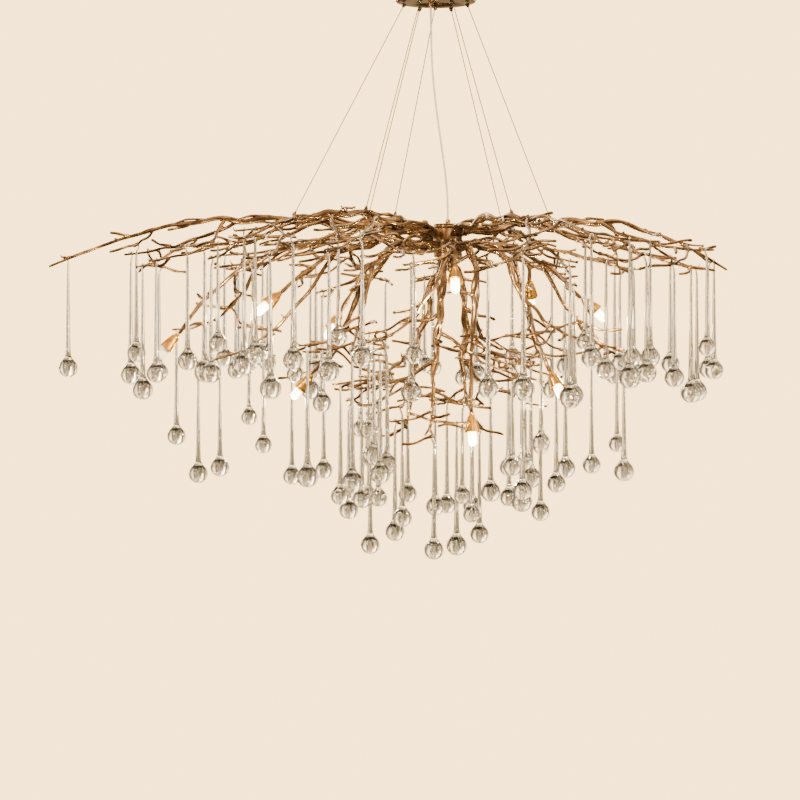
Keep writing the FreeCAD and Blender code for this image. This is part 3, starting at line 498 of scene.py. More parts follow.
def all_drops():
    """An end drop of each limb and trunk swings in its own node; the others fill the frame."""
    swing = (-SWING, -0.5 * SWING, 0, 0.5 * SWING, SWING)
    for owner in growth.owners("limb", "trunk"):
        path = growth.pieces[owner][0]
        places = [(owner, path, len(path) - 2, END_PLACE)]
        places += [place for place in reversed(growth.hooks) if place[0] == owner]
        node = "end_drop_" + owner.replace("limb_", "")
        if not any(hang(place, KINDS[0], swing, node) for place in places):
            raise RuntimeError("no room for the end drop of " + owner)
    for number, place in enumerate(growth.hooks):
        hang(place, KINDS[number % len(KINDS)], (0,), None)


main_paths()
lamp_room()
post_top = centre_post()
side_growth()
all_drops()


def cable_lines():
    """Each cable's name, its bushing's foot, its direction, and its two ends."""
    radius = size.cable_ring_diameter / 2
    ends = []
    for name, _, _, _, angle, part in UPPER_LIMBS:
        seat, _, thick, _ = point_at(growth.pieces["limb_" + name][0], part)
        turn = radians(angle)
        top = (radius * cos(turn), radius * sin(turn), CANOPY_FACE)
        ends.append((name, top, raised(seat, thick)))
    ends.append(("centre", (0, 0, CANOPY_FACE), post_top))
    lines = []
    for name, top, seat in ends:
        down = unit(sub(seat, top))
        lean = sqrt(1 - down[2] * down[2])
        start = raised(top, -(size.seat_gap + lean * size.bushing_width / 2))
        end = raised(seat, 2 * size.seat_gap + lean * size.lug_width / 2)
        along = unit(sub(end, start))
        lines.append(("cable_" + name, start, along, moved(start, along, size.bushing_length),
                      moved(end, along, -size.lug_length)))
    return lines


# Route of the power cord between its two glands: share of the way down, then the distance that
# it stands off the straight line, in X and in Y
CORD_ROUTE = ((0.09, 0, 0), (0.24, -2.6, -1.2), (0.39, -4.2, -2), (0.54, -4, -1.6),
              (0.69, -2.2, -0.4), (0.83, 0, 0.8), (0.92, 0.2, 0.3))


def cord_points():
    """The cord's control points, from the canopy's gland to the hub's."""
    gland = size.gland_length
    top = (size.gland_offset_x, size.gland_offset_y, CANOPY_FACE - 2 * size.seat_gap - gland)
    end = (HUB[0], HUB[1], HUB[2] + gland + 2 * size.seat_gap)
    points = [top]
    for share, off_x, off_y in CORD_ROUTE:
        x, y, _ = between(top, end, share * share * (3 - 2 * share))
        points.append((x + off_x, y + off_y, between(top, end, share)[2]))
    return points + [end]


# Surfaces as arrays

def linked(name, data, place=(0, 0, 0)):
    """A new object in the scene; place is in metres."""
    obj = bpy.data.objects.new(name, data)
    obj.location = place
    bpy.context.scene.collection.objects.link(obj)
    return obj


def mesh_object(name, chunks, smooth=True):
    """One mesh object from (vertices, faces) chunks in millimetres, placed in metres."""
    points, faces, count = [], [], 0
    for vertices, polygons in chunks:
        points.append(vertices.reshape(-1, 3))
        faces += [[i + count for i in polygon] for polygon in polygons]
        count += len(points[-1])
    mesh = bpy.data.meshes.new(name)
    mesh.from_pydata(np.vstack(points) * MM, [], faces)
    mesh.validate()
    if smooth:
        mesh.polygons.foreach_set("use_smooth", np.ones(len(mesh.polygons), bool))
    return linked(name, mesh)


def turns(sides):
    return np.linspace(0, 2 * np.pi, sides, endpoint=False)


def grid_faces(rings, sides, closed=False):
    """Quads between neighbouring rings; ends capped by a polygon, or joined up where closed."""
    i = np.arange(rings if closed else rings - 1)[:, None] * sides
    j = np.arange(sides)[None, :]
    k = (j + 1) % sides
    up = (i + sides) % (rings * sides)
    quads = np.stack([i + j, i + k, up + k, up + j], axis=-1).reshape(-1, 4).tolist()
    if not closed:
        quads.append(list(range(sides))[::-1])
        quads.append(list(range((rings - 1) * sides, rings * sides)))
    return quads


def unit_rows(rows):
    return rows / np.linalg.norm(rows, axis=-1, keepdims=True)


def normals_along(points):
    """Two unit normals at each point of a path, square to its tangent and to one fixed guide.

    The guide is the axis, or the turn axis of the path, that the tangents lean on least.
    """
    tangents = unit_rows(np.gradient(points, axis=0))
    guides = np.vstack([np.eye(3), np.cross(tangents[0], tangents[-1])[None, :]])
    lengths = np.linalg.norm(guides, axis=1)
    guides = guides[lengths > 0.3] / lengths[lengths > 0.3][:, None]
    guide = guides[np.argmin(np.abs(tangents @ guides.T).max(axis=0))]
    first = unit_rows(np.cross(tangents, guide))
    return first, np.cross(tangents, first)


def sweep(points, radii, sides):
    """A tube: point + radius * (first * cos + second * sin) round each point of a path.

    radii has one number for each point and side.
    """
    first, second = normals_along(points)
    turn = turns(sides)[None, :, None]
    ring = first[:, None] * np.cos(turn) + second[:, None] * np.sin(turn)
    return points[:, None] + radii[:, :, None] * ring, grid_faces(len(points), sides)


def lathe(foot, aim, profile, sides, closed=False):
    """A turned shape: profile rows are (distance along aim, radius), carried round the axis."""
    rows = np.asarray(profile, float)
    points = np.asarray(foot) + rows[:, :1] * np.asarray(aim)
    guide = np.eye(3)[np.argmin(np.abs(aim))]
    first = unit_rows(np.cross(aim, guide)[None, :])[0]
    turn = turns(sides)[:, None]
    ring = np.cos(turn) * first + np.sin(turn) * np.cross(aim, first)
    return points[:, None] + rows[:, 1][:, None, None] * ring, grid_faces(len(rows), sides, closed)


def shares_of(wide, *rows):
    """Profile rows whose radii are given as shares of wide."""
    return [(place, share * wide) for place, share in rows]


def rows_from(place, radius, *rows):
    """Profile rows given as offsets from a place and a radius."""
    return [(place + far, radius + wide) for far, wide in rows]


def subdivided(obj):
    step = obj.modifiers.new("smooth", "SUBSURF")
    step.levels = step.render_levels = 1
    return obj


# Branches. Share of a straight run that is rounded at each of its corners
CORNER_SHARE = 0.34
# A hung branch is true to size from this share of its length on, after an ease before it
TRUE_FROM = 0.74
TRUE_EASE = 0.2
# Thickening of a hung branch before that, and of the fine growth, as shares of the radius
HUNG_GAIN = 0.24
FINE_GAIN = 0.1
# Pitch and half width of the knots, and rise of the knots and of a root's flare
KNOT_PITCH = 46
KNOT_WIDTH = 4.5
KNOT_RISE = 0.3
FLARE = 0.7
# Pitch of the winding strands, and room kept round strands and spurs
STRAND_PITCH = 250
TRIM_ROOM = 0.8
# Room for the bark inside the box of the solids
BARK_ROOM = 4
# Twiglets by place on their branch, yaw, length and fall, their steps and radius at the tip
TWIGLETS = ((0.4, -40, 74, -18), (0.54, 62, 56, 7), (0.68, -58, 60, -12), (0.82, 50, 42, 5))
TWIGLET_STEPS = 4
TWIGLET_TIP = 2.5
# How far their places and their turns vary
TWIGLET_SHIFT = 0.04
TWIGLET_CURL = 70
# Place of a twig's one spur; a spur's length past the bark and its turn round the branch, each with
# how far it varies; and its greatest radius
TWIG_SPUR = 0.985
SPUR_LENGTH = (6, 3.5)
SPUR_TURN = (90, 85)
SPUR_RADIUS = 2.6
# Strands by their first and last place on a limb, and the angle at which they start
LIMB_STRANDS = ((0.03, 0.62, 0.4), (0.1, 0.78, 3.4))
OTHER_STRAND = (0.06, 0.7)


def softened(path):
    """The path with each corner rounded by a quadratic curve, and two points on each straight.

    Row k of the result is (x, y, z, radius). A corner is (1 - t)^2 A + 2 t (1 - t) P + t^2 C with
    A and C a fixed share of the way to its neighbours.
    """
    rows = np.array([(*point, radius) for point, radius in path])
    before, corner, after = rows[:-2], rows[1:-1], rows[2:]
    a = corner + CORNER_SHARE * (before - corner)
    c = corner + CORNER_SHARE * (after - corner)
    t = np.linspace(0, 1, 5)[None, :, None]
    bends = (1 - t) ** 2 * a[:, None] + 2 * t * (1 - t) * corner[:, None] + t ** 2 * c[:, None]
    starts = np.vstack([rows[:1], c])
    ends = np.vstack([a, rows[-1:]])
    s = np.array([1, 2])[None, :, None] / 3
    straights = starts[:, None] + s * (ends - starts)[:, None]
    mixed = np.concatenate([straights[:-1], bends], axis=1).reshape(-1, 4)
    return np.vstack([rows[:1], mixed, straights[-1], rows[-1:]])


def bark_tube(path, seed, sides, is_branch, is_hung=True):
    """A knotted cast branch: softened path, uneven radius, a flared root and a rounded tip.

    It wanders off its path the more the thicker it is. A branch that holds a hook near its tip is
    true to size there, and thicker and more crooked before it.

    radius(s, angle) = r * (1 + waves of s + low waves of the angle that twist along s), and the
    root flares by 0.7 * exp(-((s - r) / 1.3 r)^2).
    """
    rows = softened(path)
    end = unit_rows(rows[-1:, :3] - rows[-2:-1, :3])
    tip = rows[-1, 3]
    rows[-1, :3] -= 0.9 * tip * end[0]
    cap = rows[-1:, :3] + np.array([[0.45], [0.8]]) * tip * end
    rows = np.vstack([rows, np.hstack([cap, [[0.82 * tip], [0.42 * tip]]])])
    steps = np.linalg.norm(np.diff(rows[:, :3], axis=0), axis=1)
    s = np.concatenate([[0], np.cumsum(steps)])
    first, second = normals_along(rows[:, :3])
    free = np.ones(len(s))
    if is_hung:
        free = np.clip((TRUE_FROM - s / s[-1]) / TRUE_EASE, 0, 1)
    thick = 0.8 * np.clip(rows[:, 3] - 2.6, 0, None)
    sway = (0.12 + 1.9 * free + thick) * np.minimum(1, s / 18)
    rows[:, 3] *= 1 + (HUNG_GAIN if is_hung else FINE_GAIN) * free
    rows[:, :3] += (1.3 * sway * np.sin(s / 14 + seed))[:, None] * first
    rows[:, :3] += (0.8 * sway * np.sin(s / 10 + 2 * seed))[:, None] * second
    body = 1 + 0.13 * np.sin(s / 6.1 + seed) * np.sin(s / 15 + 1.7 * seed)
    knots = KNOT_RISE * np.exp(-((s % KNOT_PITCH - KNOT_PITCH / 2) / KNOT_WIDTH) ** 2)
    knots *= np.clip((rows[:, 3] - 2.2) / 1.5, 0, 1)
    root = rows[0, 3]
    flare = FLARE * np.exp(-((s - root) / (1.3 * root)) ** 2) if is_branch else 0
    turn = turns(sides)[None, :]
    run = s[:, None]
    twist = 0.06 * np.cos(2 * turn + seed - run / 17) + 0.11 * np.cos(3 * turn + run / 28)
    radii = (rows[:, 3] * (body + knots + flare))[:, None] * (1 + twist)
    return sweep(rows[:, :3], radii, sides)


def spur(base, out, length, root):
    """A short blunt spur, bent a little upward: rows of (point, radius)."""
    return [(base, root), (moved(base, out, 0.6 * length), 0.72 * root),
            (raised(moved(base, out, length), 0.3 * length), 0.66 * root)]


def spurs(path, seed, others):
    """Spurs that find room along a path, spiralling round its upper side; a twig has one only."""
    found = []
    parts = [TWIG_SPUR]
    if len(path) > 3:
        count = len(path) // 2
        parts = [(step + 0.6 + 0.35 * sin(3.1 * step + seed)) / (count + 0.4)
                 for step in range(count)]
    for step, part in enumerate(parts):
        place, along, radius, _ = point_at(path, part)
        side = square_to(along, 0.95)
        turn = radians(SPUR_TURN[0] + SPUR_TURN[1] * sin(2.4 * step + 1.9 * seed))
        out = moved(scaled(side, cos(turn)), cross(side, along), sin(turn))
        out = unit(moved(out, along, 0.8))
        length = radius + SPUR_LENGTH[0] + SPUR_LENGTH[1] * sin(1.7 * step + seed)
        rows = spur(place, out, length, min(0.75 * radius, SPUR_RADIUS))
        if within(rows) and clear([(rows[0][0], rows[2][0], 0.7 * rows[0][1])], others, TRIM_ROOM):
            found.append(rows)
    return found


def strand(path, phase, first, last):
    """A thinner branch that winds round a limb, and springs from it and joins it again.

    point(t) = limb + reach * (side cos a + up sin a), with a = phase + 2 pi s / pitch, and reach
    growing from nothing to just outside the limb and back.
    """
    rows = []
    count = 3 * (len(path) - 1)
    run, before = 0, None
    for step in range(count + 1):
        part = step / count
        place, along, radius, _ = point_at(path, first + (last - first) * part)
        run += dist(place, before or place)
        before = place
        side = square_to(along, 0.9)
        angle = phase + 2 * pi * run / STRAND_PITCH
        thin = (0.74 - 0.22 * part) * radius
        reach = (radius + 0.9 * thin) * min(1, 5 * part, 5 * (1 - part))
        out = moved(scaled(side, reach * cos(angle)), cross(side, along), reach * sin(angle))
        rows.append((add(place, out), thin))
    return rows


def within(path):
    """True where a path stays inside the box of the solids, with room for its bark."""
    low, high = CAD_BOUNDS
    return all(low[k] / MM + BARK_ROOM < point[k] < high[k] / MM - BARK_ROOM
               for point, _ in path for k in range(3))


def fine_growth(kept_clear):
    """Twiglets and winding strands, finer than the solids hold, wherever there is room, by name."""
    growth.keep("fittings", kept_clear)
    found = {}
    for turn, (name, paths) in enumerate(growth.pieces.items()):
        coarse = len(paths)
        parents = [path for path in paths if len(path) > 2]
        for number, parent in enumerate(parents):
            pattern = TWIGLETS if len(parent) > 3 else TWIGLETS[2:3]
            for order, (part, yaw, length, fall) in enumerate(pattern):
                seed = 1.9 * order + turn + 2.7 * number
                yaw = uneven(yaw, order, turn)
                path = growth.grow(name, parent, part + TWIGLET_SHIFT * sin(seed), (yaw, -yaw),
                                   uneven(length, order, seed), fall,
                                   TWIGLET_CURL * sin(seed), TWIGLET_STEPS, TWIGLET_TIP)
                if path and not within(path):
                    paths.remove(path)
        spans = LIMB_STRANDS if name.startswith("limb") else ((*OTHER_STRAND, turn),)
        for first, last, phase in spans:
            rows = strand(parents[0], phase, first, last)
            if clear(capsules_of(rows), growth.others(name), TRIM_ROOM):
                paths.append(rows)
        found[name] = paths[coarse:]
        del paths[coarse:]
    return found


def branch_piece(name, fine):
    """A limb with its boughs, twigs and spurs, and its fine growth."""
    chunks = []
    others = growth.others(name)
    for number, path in enumerate(growth.pieces[name]):
        sides = 10 if number == 0 else 8 if len(path) > 3 else 7
        seed = 1.3 * number + 0.7 * len(name)
        chunks.append(bark_tube(path, seed, sides, number > 0))
        chunks += [bark_tube(rows, seed, 6, True) for rows in spurs(path, seed, others)]
    chunks += [bark_tube(path, 1.1 * number, 7, True, False) for number, path in enumerate(fine)]
    return subdivided(mesh_object(name + "_bark", chunks))


# Glass drops

DROP_SIDES = 10
# How much a ring of corners must grow for its subdivided round to have the wanted radius
RING_GAIN = 6 / (4 + 2 * cos(2 * pi / DROP_SIDES))
# The same for the ball's profile
BALL_GAIN = 1.035
# Angles of the ball's rings from its foot; height over its centre and radius of the neck's rings,
# as shares of the ball's radius
BALL_ANGLES = (8, 30, 55, 82, 108, 132)
NECK_ROWS = ((0.96, 0.44), (1.24, 0.31), (1.7, 0.265), (2.7, 0.235))
# Rows (x, z, radius) of the stem's upper end, and angle and radius of the hook's rings
STEM_ROWS = ((0, -24, 2.2), (0.15, -12.5, 1.85), (1.5, -8.6, 1.65), (3.4, -4.9, 1.5))
HOOK_ROWS = ((-14, 1.35), (22, 1.3), (58, 1.3), (94, 1.28), (130, 1.25), (163, 1.05))


def drop_line(kind):
    """Rows (x, z, radius) of a drop's centre line from the ball's foot to the hook's end.

    The ball is a circle's profile, the neck a quick cone, and the hook a circle about the twig.
    """
    length, ball = DROPS[kind]
    centre = ball - length
    angle = np.radians(BALL_ANGLES)
    low = np.stack([0 * angle, centre - ball * np.cos(angle), ball * np.sin(angle)], axis=1)
    low[:, 2] *= BALL_GAIN
    neck = [(0, centre + ball * rise, wide * ball) for rise, wide in NECK_ROWS]
    stem = (0, 0.5 * neck[-1][1] - 10, 3)
    around = HOOK_INSIDE + size.hook_rod_radius
    angle, radius = np.array(HOOK_ROWS).T
    angle = np.radians(angle)
    hook = np.stack([around * np.cos(angle), around * np.sin(angle), radius], axis=1)
    return np.vstack([low, neck, stem, STEM_ROWS, hook])


def drop_master(kind):
    """Corners of one drop, its hook round the origin and its twig along Y."""
    rows = drop_line(kind)
    points = np.stack([rows[:, 0], 0 * rows[:, 0], rows[:, 1]], axis=1)
    across = np.array([0, 1, 0])
    normal = np.cross(across, unit_rows(np.gradient(points, axis=0)))
    turn = turns(DROP_SIDES)[None, :, None]
    radii = (rows[:, 2] * RING_GAIN)[:, None, None]
    return points[:, None] + radii * (normal[:, None] * np.cos(turn) + across * np.sin(turn))


def drop_piece(name, rows):
    """All drops of a node: the master of each one's size, turned to its twig, at its hook."""
    masters = {kind: drop_master(kind) for kind in DROPS}
    hooks, along = (np.array([row[k] for row in rows]) for k in (0, 1))
    stacked = np.stack([masters[kind] for _, _, kind in rows])
    up = np.broadcast_to(UP, along.shape)
    axes = np.stack([np.cross(along, up), along, up], axis=1)
    corners = np.einsum("nrsk,nkj->nrsj", stacked, axes) + hooks[:, None, None]
    faces = grid_faces(stacked.shape[1], DROP_SIDES)
    return subdivided(mesh_object(name + "_glass", [(one, faces) for one in corners]))


# Finishes

def feed(tree, node, sockets):
    """Gives each socket its value, or a link where the value is another node's output."""
    for word, value in sockets.items():
        if isinstance(value, bpy.types.NodeSocket):
            tree.links.new(value, node.inputs[word])
        else:
            node.inputs[word].default_value = value


def new_node(tree, kind, sockets=(), **settings):
    """A new shader node with its settings and its sockets; returns its outputs."""
    node = tree.nodes.new("ShaderNode" + kind)
    for word, value in settings.items():
        setattr(node, word, value)
    feed(tree, node, dict(sockets))
    return node.outputs


def worked_out(tree, operation, *values):
    """The result of a Math node."""
    return new_node(tree, "Math", dict(enumerate(values)), operation=operation)[0]


def value_noise(tree, scale, detail, stretch=None):
    """A noise texture on object coordinates."""
    place = new_node(tree, "TexCoord")["Object"]
    if stretch:
        place = new_node(tree, "Mapping", {"Scale": stretch, "Vector": place})["Vector"]
    return new_node(tree, "TexNoise", {"Scale": scale, "Detail": detail, "Vector": place})["Fac"]


def ramp(tree, source, *stops):
    """A colour ramp; stops are (place, colour), and a colour of one number is a grey."""
    node = tree.nodes.new("ShaderNodeValToRGB")
    while len(node.color_ramp.elements) < len(stops):
        node.color_ramp.elements.new(0.5)
    for element, (place, colour) in zip(node.color_ramp.elements, stops):
        element.position = place
        element.color = (*(colour * 3 if len(colour) == 1 else colour), 1)
    tree.links.new(source, node.inputs["Fac"])
    return node.outputs["Color"]


def relief(tree, height, strength, distance):
    """The normal of a bump; distance is in metres."""
    return new_node(tree, "Bump", {"Height": height, "Strength": strength,
                                   "Distance": distance})["Normal"]


def patina_group():
    """Aged metal shared by the castings: mottled colour between two tones, roughness and relief."""
    tree = bpy.data.node_groups.new("patina", "ShaderNodeTree")
    for word, kind, value in (("Dark tone", "Color", (0.1, 0.05, 0.02, 1)),
                              ("Bright tone", "Color", (0.6, 0.4, 0.18, 1)),
                              ("Scale", "Float", 60), ("Wear", "Float", 0.5)):
        socket = tree.interface.new_socket(word, in_out="INPUT", socket_type="NodeSocket" + kind)
        socket.default_value = value
    for word, kind in (("Colour", "Color"), ("Roughness", "Float"), ("Height", "Float")):
        tree.interface.new_socket(word, in_out="OUTPUT", socket_type="NodeSocket" + kind)
    given = tree.nodes.new("NodeGroupInput").outputs
    place = new_node(tree, "TexCoord")["Object"]
    broad = {"Vector": place, "Scale": given["Scale"], "Detail": 2}
    small = {"Vector": place, "Scale": worked_out(tree, "MULTIPLY", given["Scale"], 7)}
    pits = new_node(tree, "TexVoronoi", small)["Distance"]
    mottle = worked_out(tree, "MULTIPLY_ADD",
                        new_node(tree, "TexNoise", {**small, "Detail": 2})["Fac"], 0.2,
                        new_node(tree, "TexNoise", broad)["Fac"])
    # The mask runs from 0 to 1 as broad + 0.2 fine + wear goes from 0.96 to 1.26
    mask = new_node(tree, "MapRange", {"From Min": 0.96, "From Max": 1.26,
                                       "Value": worked_out(tree, "ADD", mottle, given["Wear"])})
    mask = mask["Result"]
    tone = new_node(tree, "Mix", {"Factor": mask, 6: given["Dark tone"], 7: given["Bright tone"]},
                    data_type="RGBA")[2]
    rough = new_node(tree, "MapRange", {"Value": mask, "To Min": 0.34, "To Max": 0.17})["Result"]
    feed(tree, tree.nodes.new("NodeGroupOutput"), {
        "Colour": tone, "Roughness": rough,
        "Height": worked_out(tree, "MULTIPLY_ADD", pits, 0.5, mottle)})
    return tree


def new_finish(name):
    """A new node material, its tree and its Principled shader."""
    material = bpy.data.materials.new(name)
    material.use_nodes = True
    return material, material.node_tree, material.node_tree.nodes["Principled BSDF"]


def aged_metal(name, dark, bright, scale, wear, strength):
    """Cast metal with the shared patina."""
    material, tree, shader = new_finish(name)
    patina = new_node(tree, "Group", {"Dark tone": (*dark, 1), "Bright tone": (*bright, 1),
                                      "Scale": scale, "Wear": wear},
                      node_tree=bpy.data.node_groups.get("patina") or patina_group())
    feed(tree, shader, {"Metallic": 0.85, "Base Color": patina["Colour"],
                        "Roughness": patina["Roughness"],
                        "Normal": relief(tree, patina["Height"], strength, 0.0006)})
    return material


def drop_glass(colour):
    """Clear glass with faint seeds, a slight unevenness from the fire polish, and painted edge
    shade.

    The base colour darkens towards the edges, to near black at grazing angles: painted shade that
    stands in for the dark room which real glass edges refract.
    """
    material, tree, shader = new_finish("clear_drop_glass")
    # Painted shade: the tint darkens towards the edges, for the dark room that they refract
    facing = new_node(tree, "LayerWeight", {"Blend": 0.5})["Facing"]
    feed(tree, shader, {
        "Transmission Weight": 1, "IOR": 1.5,
        "Base Color": ramp(tree, facing, (0.2, colour), (0.5, scaled(colour, 0.6)),
                           (0.76, (0.1, 0.085, 0.065))),
        "Roughness": ramp(tree, value_noise(tree, 90, 2), (0.42, (0,)), (0.8, (0.07,))),
        "Normal": relief(tree, value_noise(tree, 130, 1), 0.12, 0.0004)})
    return material


def bulb_glass(name, strength, colour):
    """Frosted bulb glass, lit from inside."""
    material, tree, shader = new_finish(name)
    noise = value_noise(tree, 160, 1)
    feed(tree, shader, {
        "Base Color": (1, 0.93, 0.8, 1), "Roughness": 0.25, "Emission Strength": strength,
        "Emission Color": ramp(tree, noise, (0.3, colour), (0.7, scaled(colour, 0.92)))})
    return material


def plain_finish(name, dark, bright, scale, roughness, metallic, strength, stretch=None):
    """A finish of two close tones mixed by noise, with a fine relief."""
    material, tree, shader = new_finish(name)
    noise = value_noise(tree, scale, 4, stretch)
    feed(tree, shader, {"Base Color": ramp(tree, noise, (0.35, dark), (0.65, bright)),
                        "Roughness": roughness, "Metallic": metallic,
                        "Normal": relief(tree, noise, strength, 0.0003)})
    return material


def painted(obj, material):
    obj.data.materials.clear()
    obj.data.materials.append(material)
    return obj


def placed(obj, material, node, body="frame"):
    """Paints a piece, which rides on a body and stands for a node, whose solid it hides."""
    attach(painted(obj, material), body)
    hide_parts(node)
    return obj


# Settings that a user would change

def tone(name, description, default):
    return FloatVectorProperty(name=name, description=description, subtype="COLOR",
                               default=default, min=0.0, max=1.0)


class ChandelierFrameSettings(PropertyGroup):
    dark_tone: tone("Dark tone", "Colour of the aged hollows", (0.045, 0.022, 0.01))
    bright_tone: tone("Bright tone", "Colour of the rubbed metal", (0.225, 0.128, 0.057))
    wear: FloatProperty(name="Wear", description="Share of rubbed metal", subtype="FACTOR",
                        default=0.5, min=0.0, max=1.0)


class ChandelierDropSettings(PropertyGroup):
    tint: tone("Tint", "Colour of the glass", (0.93, 0.905, 0.855))


class ChandelierLampSettings(PropertyGroup):
    strength: FloatProperty(name="Glow", description="Strength of a lit bulb", default=14.0,
                            min=0.0)
    power: FloatProperty(name="Power", description="Light that a lit bulb throws",
                         subtype="POWER", unit="POWER", default=4.0, min=0.0)
    colour: tone("Colour", "Colour of the light", (1.0, 0.84, 0.5))


class ChandelierStageSettings(PropertyGroup):
    backdrop: tone("Backdrop", "Colour of the backdrop", (1.0, 0.655, 0.28))
    glow: FloatProperty(name="Backdrop glow", description="Brightness of the backdrop",
                        default=5.5, min=0.0)
    lens: FloatProperty(name="Lens", description="Focal length", subtype="DISTANCE_CAMERA",
                        default=116.8)
    distance: FloatProperty(name="Distance", description="From the camera to the hub",
                            subtype="DISTANCE", unit="LENGTH", default=4.5, min=1.0)


# Operators, one for each piece or group of like pieces. Sides of their turned pieces
FITTING_SIDES = 20
LAMP_SIDES = 24
CUP_SIDES = 28
HUB_SIDES = 72
CANOPY_SIDES = 96
# Room kept free round the cable over each lug
LUG_ROOM = 12
# A lit bulb's light stands this far before its tip, and its radius in metres
LIGHT_AHEAD = 8
LIGHT_RADIUS = 0.012


class CHANDELIER_OT_branches(Operator):
    """Cast limbs, lamp arms and trunks with their boughs and twigs"""
    bl_idname = "chandelier.branches"
    bl_label = "Branches"

    def execute(self, context):
        settings = context.scene.chandelier_frame
        bronze = aged_metal("aged_bronze", settings.dark_tone, settings.bright_tone, 38,
                            settings.wear, 0.12)
        lug_room = [(moved(end, along, -LUG_ROOM), end, size.lug_width)
                    for _, _, along, _, end in cable_lines()]
        for name, fine in fine_growth(lug_room).items():
            placed(branch_piece(name, fine), bronze, name)
        return {"FINISHED"}


class CHANDELIER_OT_drops(Operator):
    """Glass drops on the twigs"""
    bl_idname = "chandelier.drops"
    bl_label = "Glass drops"

    def execute(self, context):
        glass = drop_glass(context.scene.chandelier_drops.tint)
        for name, rows in growth.drops.items():
            body = name.replace("end_drop_", "swing_") if name.startswith("end") else "frame"
            placed(drop_piece(name, rows), glass, name, body)
        return {"FINISHED"}


class CHANDELIER_OT_lamps(Operator):
    """Conical cups, lamp holders and bulbs"""
    bl_idname = "chandelier.lamps"
    bl_label = "Lamps"

    def execute(self, context):
        settings = context.scene.chandelier_lamps
        gold = aged_metal("golden_brass", (0.2, 0.085, 0.01), (0.5, 0.26, 0.035), 40, 0.5, 0.2)
        ceramic = plain_finish("white_ceramic", (0.74, 0.71, 0.65), (0.84, 0.81, 0.76), 90, 0.3,
                               0, 0.1)
        lit = bulb_glass("lit_bulb_glass", settings.strength, settings.colour)
        unlit = bulb_glass("unlit_bulb_glass", 0, settings.colour)
        length = size.cup_length
        neck_radius, shoulder = size.cup_neck_radius, size.cup_shoulder_radius
        mouth = size.cup_mouth_radius
        recess = length - size.cup_recess
        seat = recess + size.seat_gap
        holder, socket = size.holder_radius, size.socket_radius
        top = seat + size.holder_length
        base = top - size.socket_depth + size.seat_gap
        plug = socket - size.bulb_base_clearance
        glass = size.bulb_radius
        tip = base + size.bulb_length
        cup = shares_of(neck_radius, (0, 0.86), (0.3, 1), (2.2, 1), (2.9, 1.18), (3.8, 1))
        cup += rows_from(0, shoulder, (8, 0), (16, 1.9), (26, 4.2))
        cup += rows_from(length, mouth, (-1, -0.15), (-0.3, 0), (0, -0.35), (0, -1), (-0.7, -1.3))
        cup += rows_from(recess, shoulder, (5, 2.5), (0.6, 1.1), (0, 0.5)) + [(recess, 1)]
        body = [(seat, 0.9 * holder)]
        body += rows_from(seat, holder, (0, -0.3), (0.4, 0))
        body += rows_from(top, holder, (-0.8, 0), (-0.2, -0.3), (0, -0.7))
        body += rows_from(top, socket, (0, 0.4), (-0.5, 0)) + [(base, socket), (base, 0.6)]
        bulb = [(base + 0.3, 0.6), (base + 0.3, 0.8 * plug), (base + 0.8, plug), (top + 0.4, plug)]
        bulb += shares_of(glass, (top + 1.2, 0.93), (top + 2.2, 1), (tip - glass, 1),
                          (tip - 0.62 * glass, 0.93), (tip - 0.3 * glass, 0.72),
                          (tip - 0.08 * glass, 0.4), (tip, 0.1))
        cups, holders = [], []
        for number, (_, neck, aim) in enumerate(growth.lamps, start=1):
            foot = moved(neck, aim, size.seat_gap)
            cups.append(lathe(foot, aim, cup, CUP_SIDES))
            holders.append(lathe(foot, aim, body, LAMP_SIDES))
            name = "bulb_%d" % number
            is_lit = number != UNLIT_LAMP
            placed(mesh_object(name + "_glass", [lathe(foot, aim, bulb, LAMP_SIDES)]),
                   lit if is_lit else unlit, name, "plug_%d" % number)
            if is_lit:
                light = new_light(name + "_light", "POINT", settings.power, settings.colour)
                light.shadow_soft_size = LIGHT_RADIUS
                linked(name + "_light", light, scaled(moved(foot, aim, tip + LIGHT_AHEAD), MM))
        placed(mesh_object("lamp_cup_shells", cups), gold, "lamp_cups")
        placed(mesh_object("lamp_holder_bodies", holders), ceramic, "lamp_holders")
        return {"FINISHED"}


def new_light(name, kind, energy, colour):
    light = bpy.data.lights.new(name, kind)
    light.energy = energy
    light.color = colour
    return light


